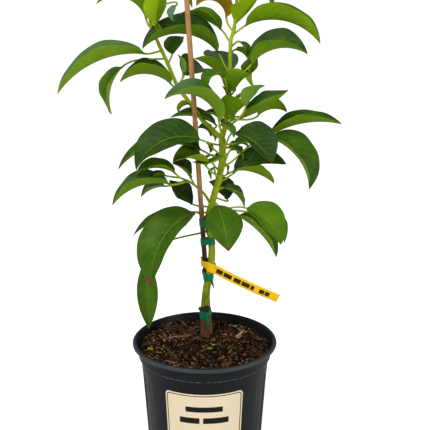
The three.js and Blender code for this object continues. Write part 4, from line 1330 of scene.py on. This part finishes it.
SPROUTS = [(17, -22, 6), (10, -43, 6), (60, 78, 7), (-104, -31, 7)]
seedlings = []
for i, (x, y, size) in enumerate(SPROUTS):
    foot = np.array([x, y, soil_height(x, y) + 4.5])
    for turn in np.radians([20 + 70 * i, 150 + 70 * i, 265 + 70 * i]):
        seedlings.append(small_leaf(foot, turn, 0.7, size, size * 0.55, 0.9, 80 + i))
gather("sprouts", seedlings, (0.7, 0, 0, 0), LEAF, "leaf")
print("litter", len(dead), "sprouts", len(SPROUTS))

# %% [markdown]
# ## Room, light and camera
# A plain pale floor, a bright even sky, one large soft lamp above the left and one low on the right.
# One strong lamp would give hard black shadows between the leaves, and a sky alone would leave them
# flat. The floor and the sky look brighter to the camera than they are to the plant, so the ground
# stays white without washing out the greens.

# %% Floor, light and camera
FLOOR_REACH = 40.0
floor_mesh = bpy.data.meshes.new("pale_floor")
corners = [(-FLOOR_REACH, -FLOOR_REACH, 0), (FLOOR_REACH, -FLOOR_REACH, 0),
           (FLOOR_REACH, FLOOR_REACH, 0), (-FLOOR_REACH, FLOOR_REACH, 0)]
floor_mesh.from_pydata(corners, [], [(0, 1, 2, 3)])
floor = in_scene("pale_floor", floor_mesh)
paint, tree, _ = new_material("pale_paint")
dress(tree, (0.86, 0.86, 0.86), 0.9, 0.5)
shader = tree.nodes["Principled BSDF"]
seen = node(tree, "ShaderNodeLightPath")["Is Camera Ray"]
plug(tree, (1.0, 1.0, 1.0), shader.inputs["Emission Color"])
plug(tree, seen * 0.62, shader.inputs["Emission Strength"])
floor_mesh.materials.append(paint)

world = bpy.data.worlds.new("studio")
bpy.context.scene.world = world
world.use_nodes = True
tree = world.node_tree
seen = node(tree, "ShaderNodeLightPath")["Is Camera Ray"]
plug(tree, (1.0, 1.0, 1.0), tree.nodes["Background"].inputs["Color"])
plug(tree, seen * 0.5 + 0.5, tree.nodes["Background"].inputs["Strength"])


def lamp(name, place, towards, size, power):
    """A square lamp that faces a point."""
    data = bpy.data.lights.new(name, "AREA")
    data.size, data.energy = size, power
    made = in_scene(name, data)
    aim = np.array(towards) - np.array(place)
    made.rotation_euler = (np.pi / 2 + np.arcsin(unit(aim)[2]), 0, np.arctan2(aim[1], aim[0]) - np.pi / 2)
    made.location = place


lamp("key", (-1.0, -1.2, 2.2), (0, 0, 0.55), 1.0, 34.0)
lamp("fill", (1.6, -1.0, 1.0), (0, 0, 0.4), 0.7, 10.0)

camera = in_scene("camera", bpy.data.cameras.new("camera"))
camera.data.lens, camera.data.sensor_width = 85.31, 36.0
camera.location = (0.01993, -1.8, 1.0448)
camera.rotation_euler = (np.radians(90 - 17.145), 0, 0)
camera.data.clip_end = 200
bpy.context.scene.camera = camera
bpy.context.scene.view_settings.view_transform = "Standard"
print("camera", tuple(camera.location))
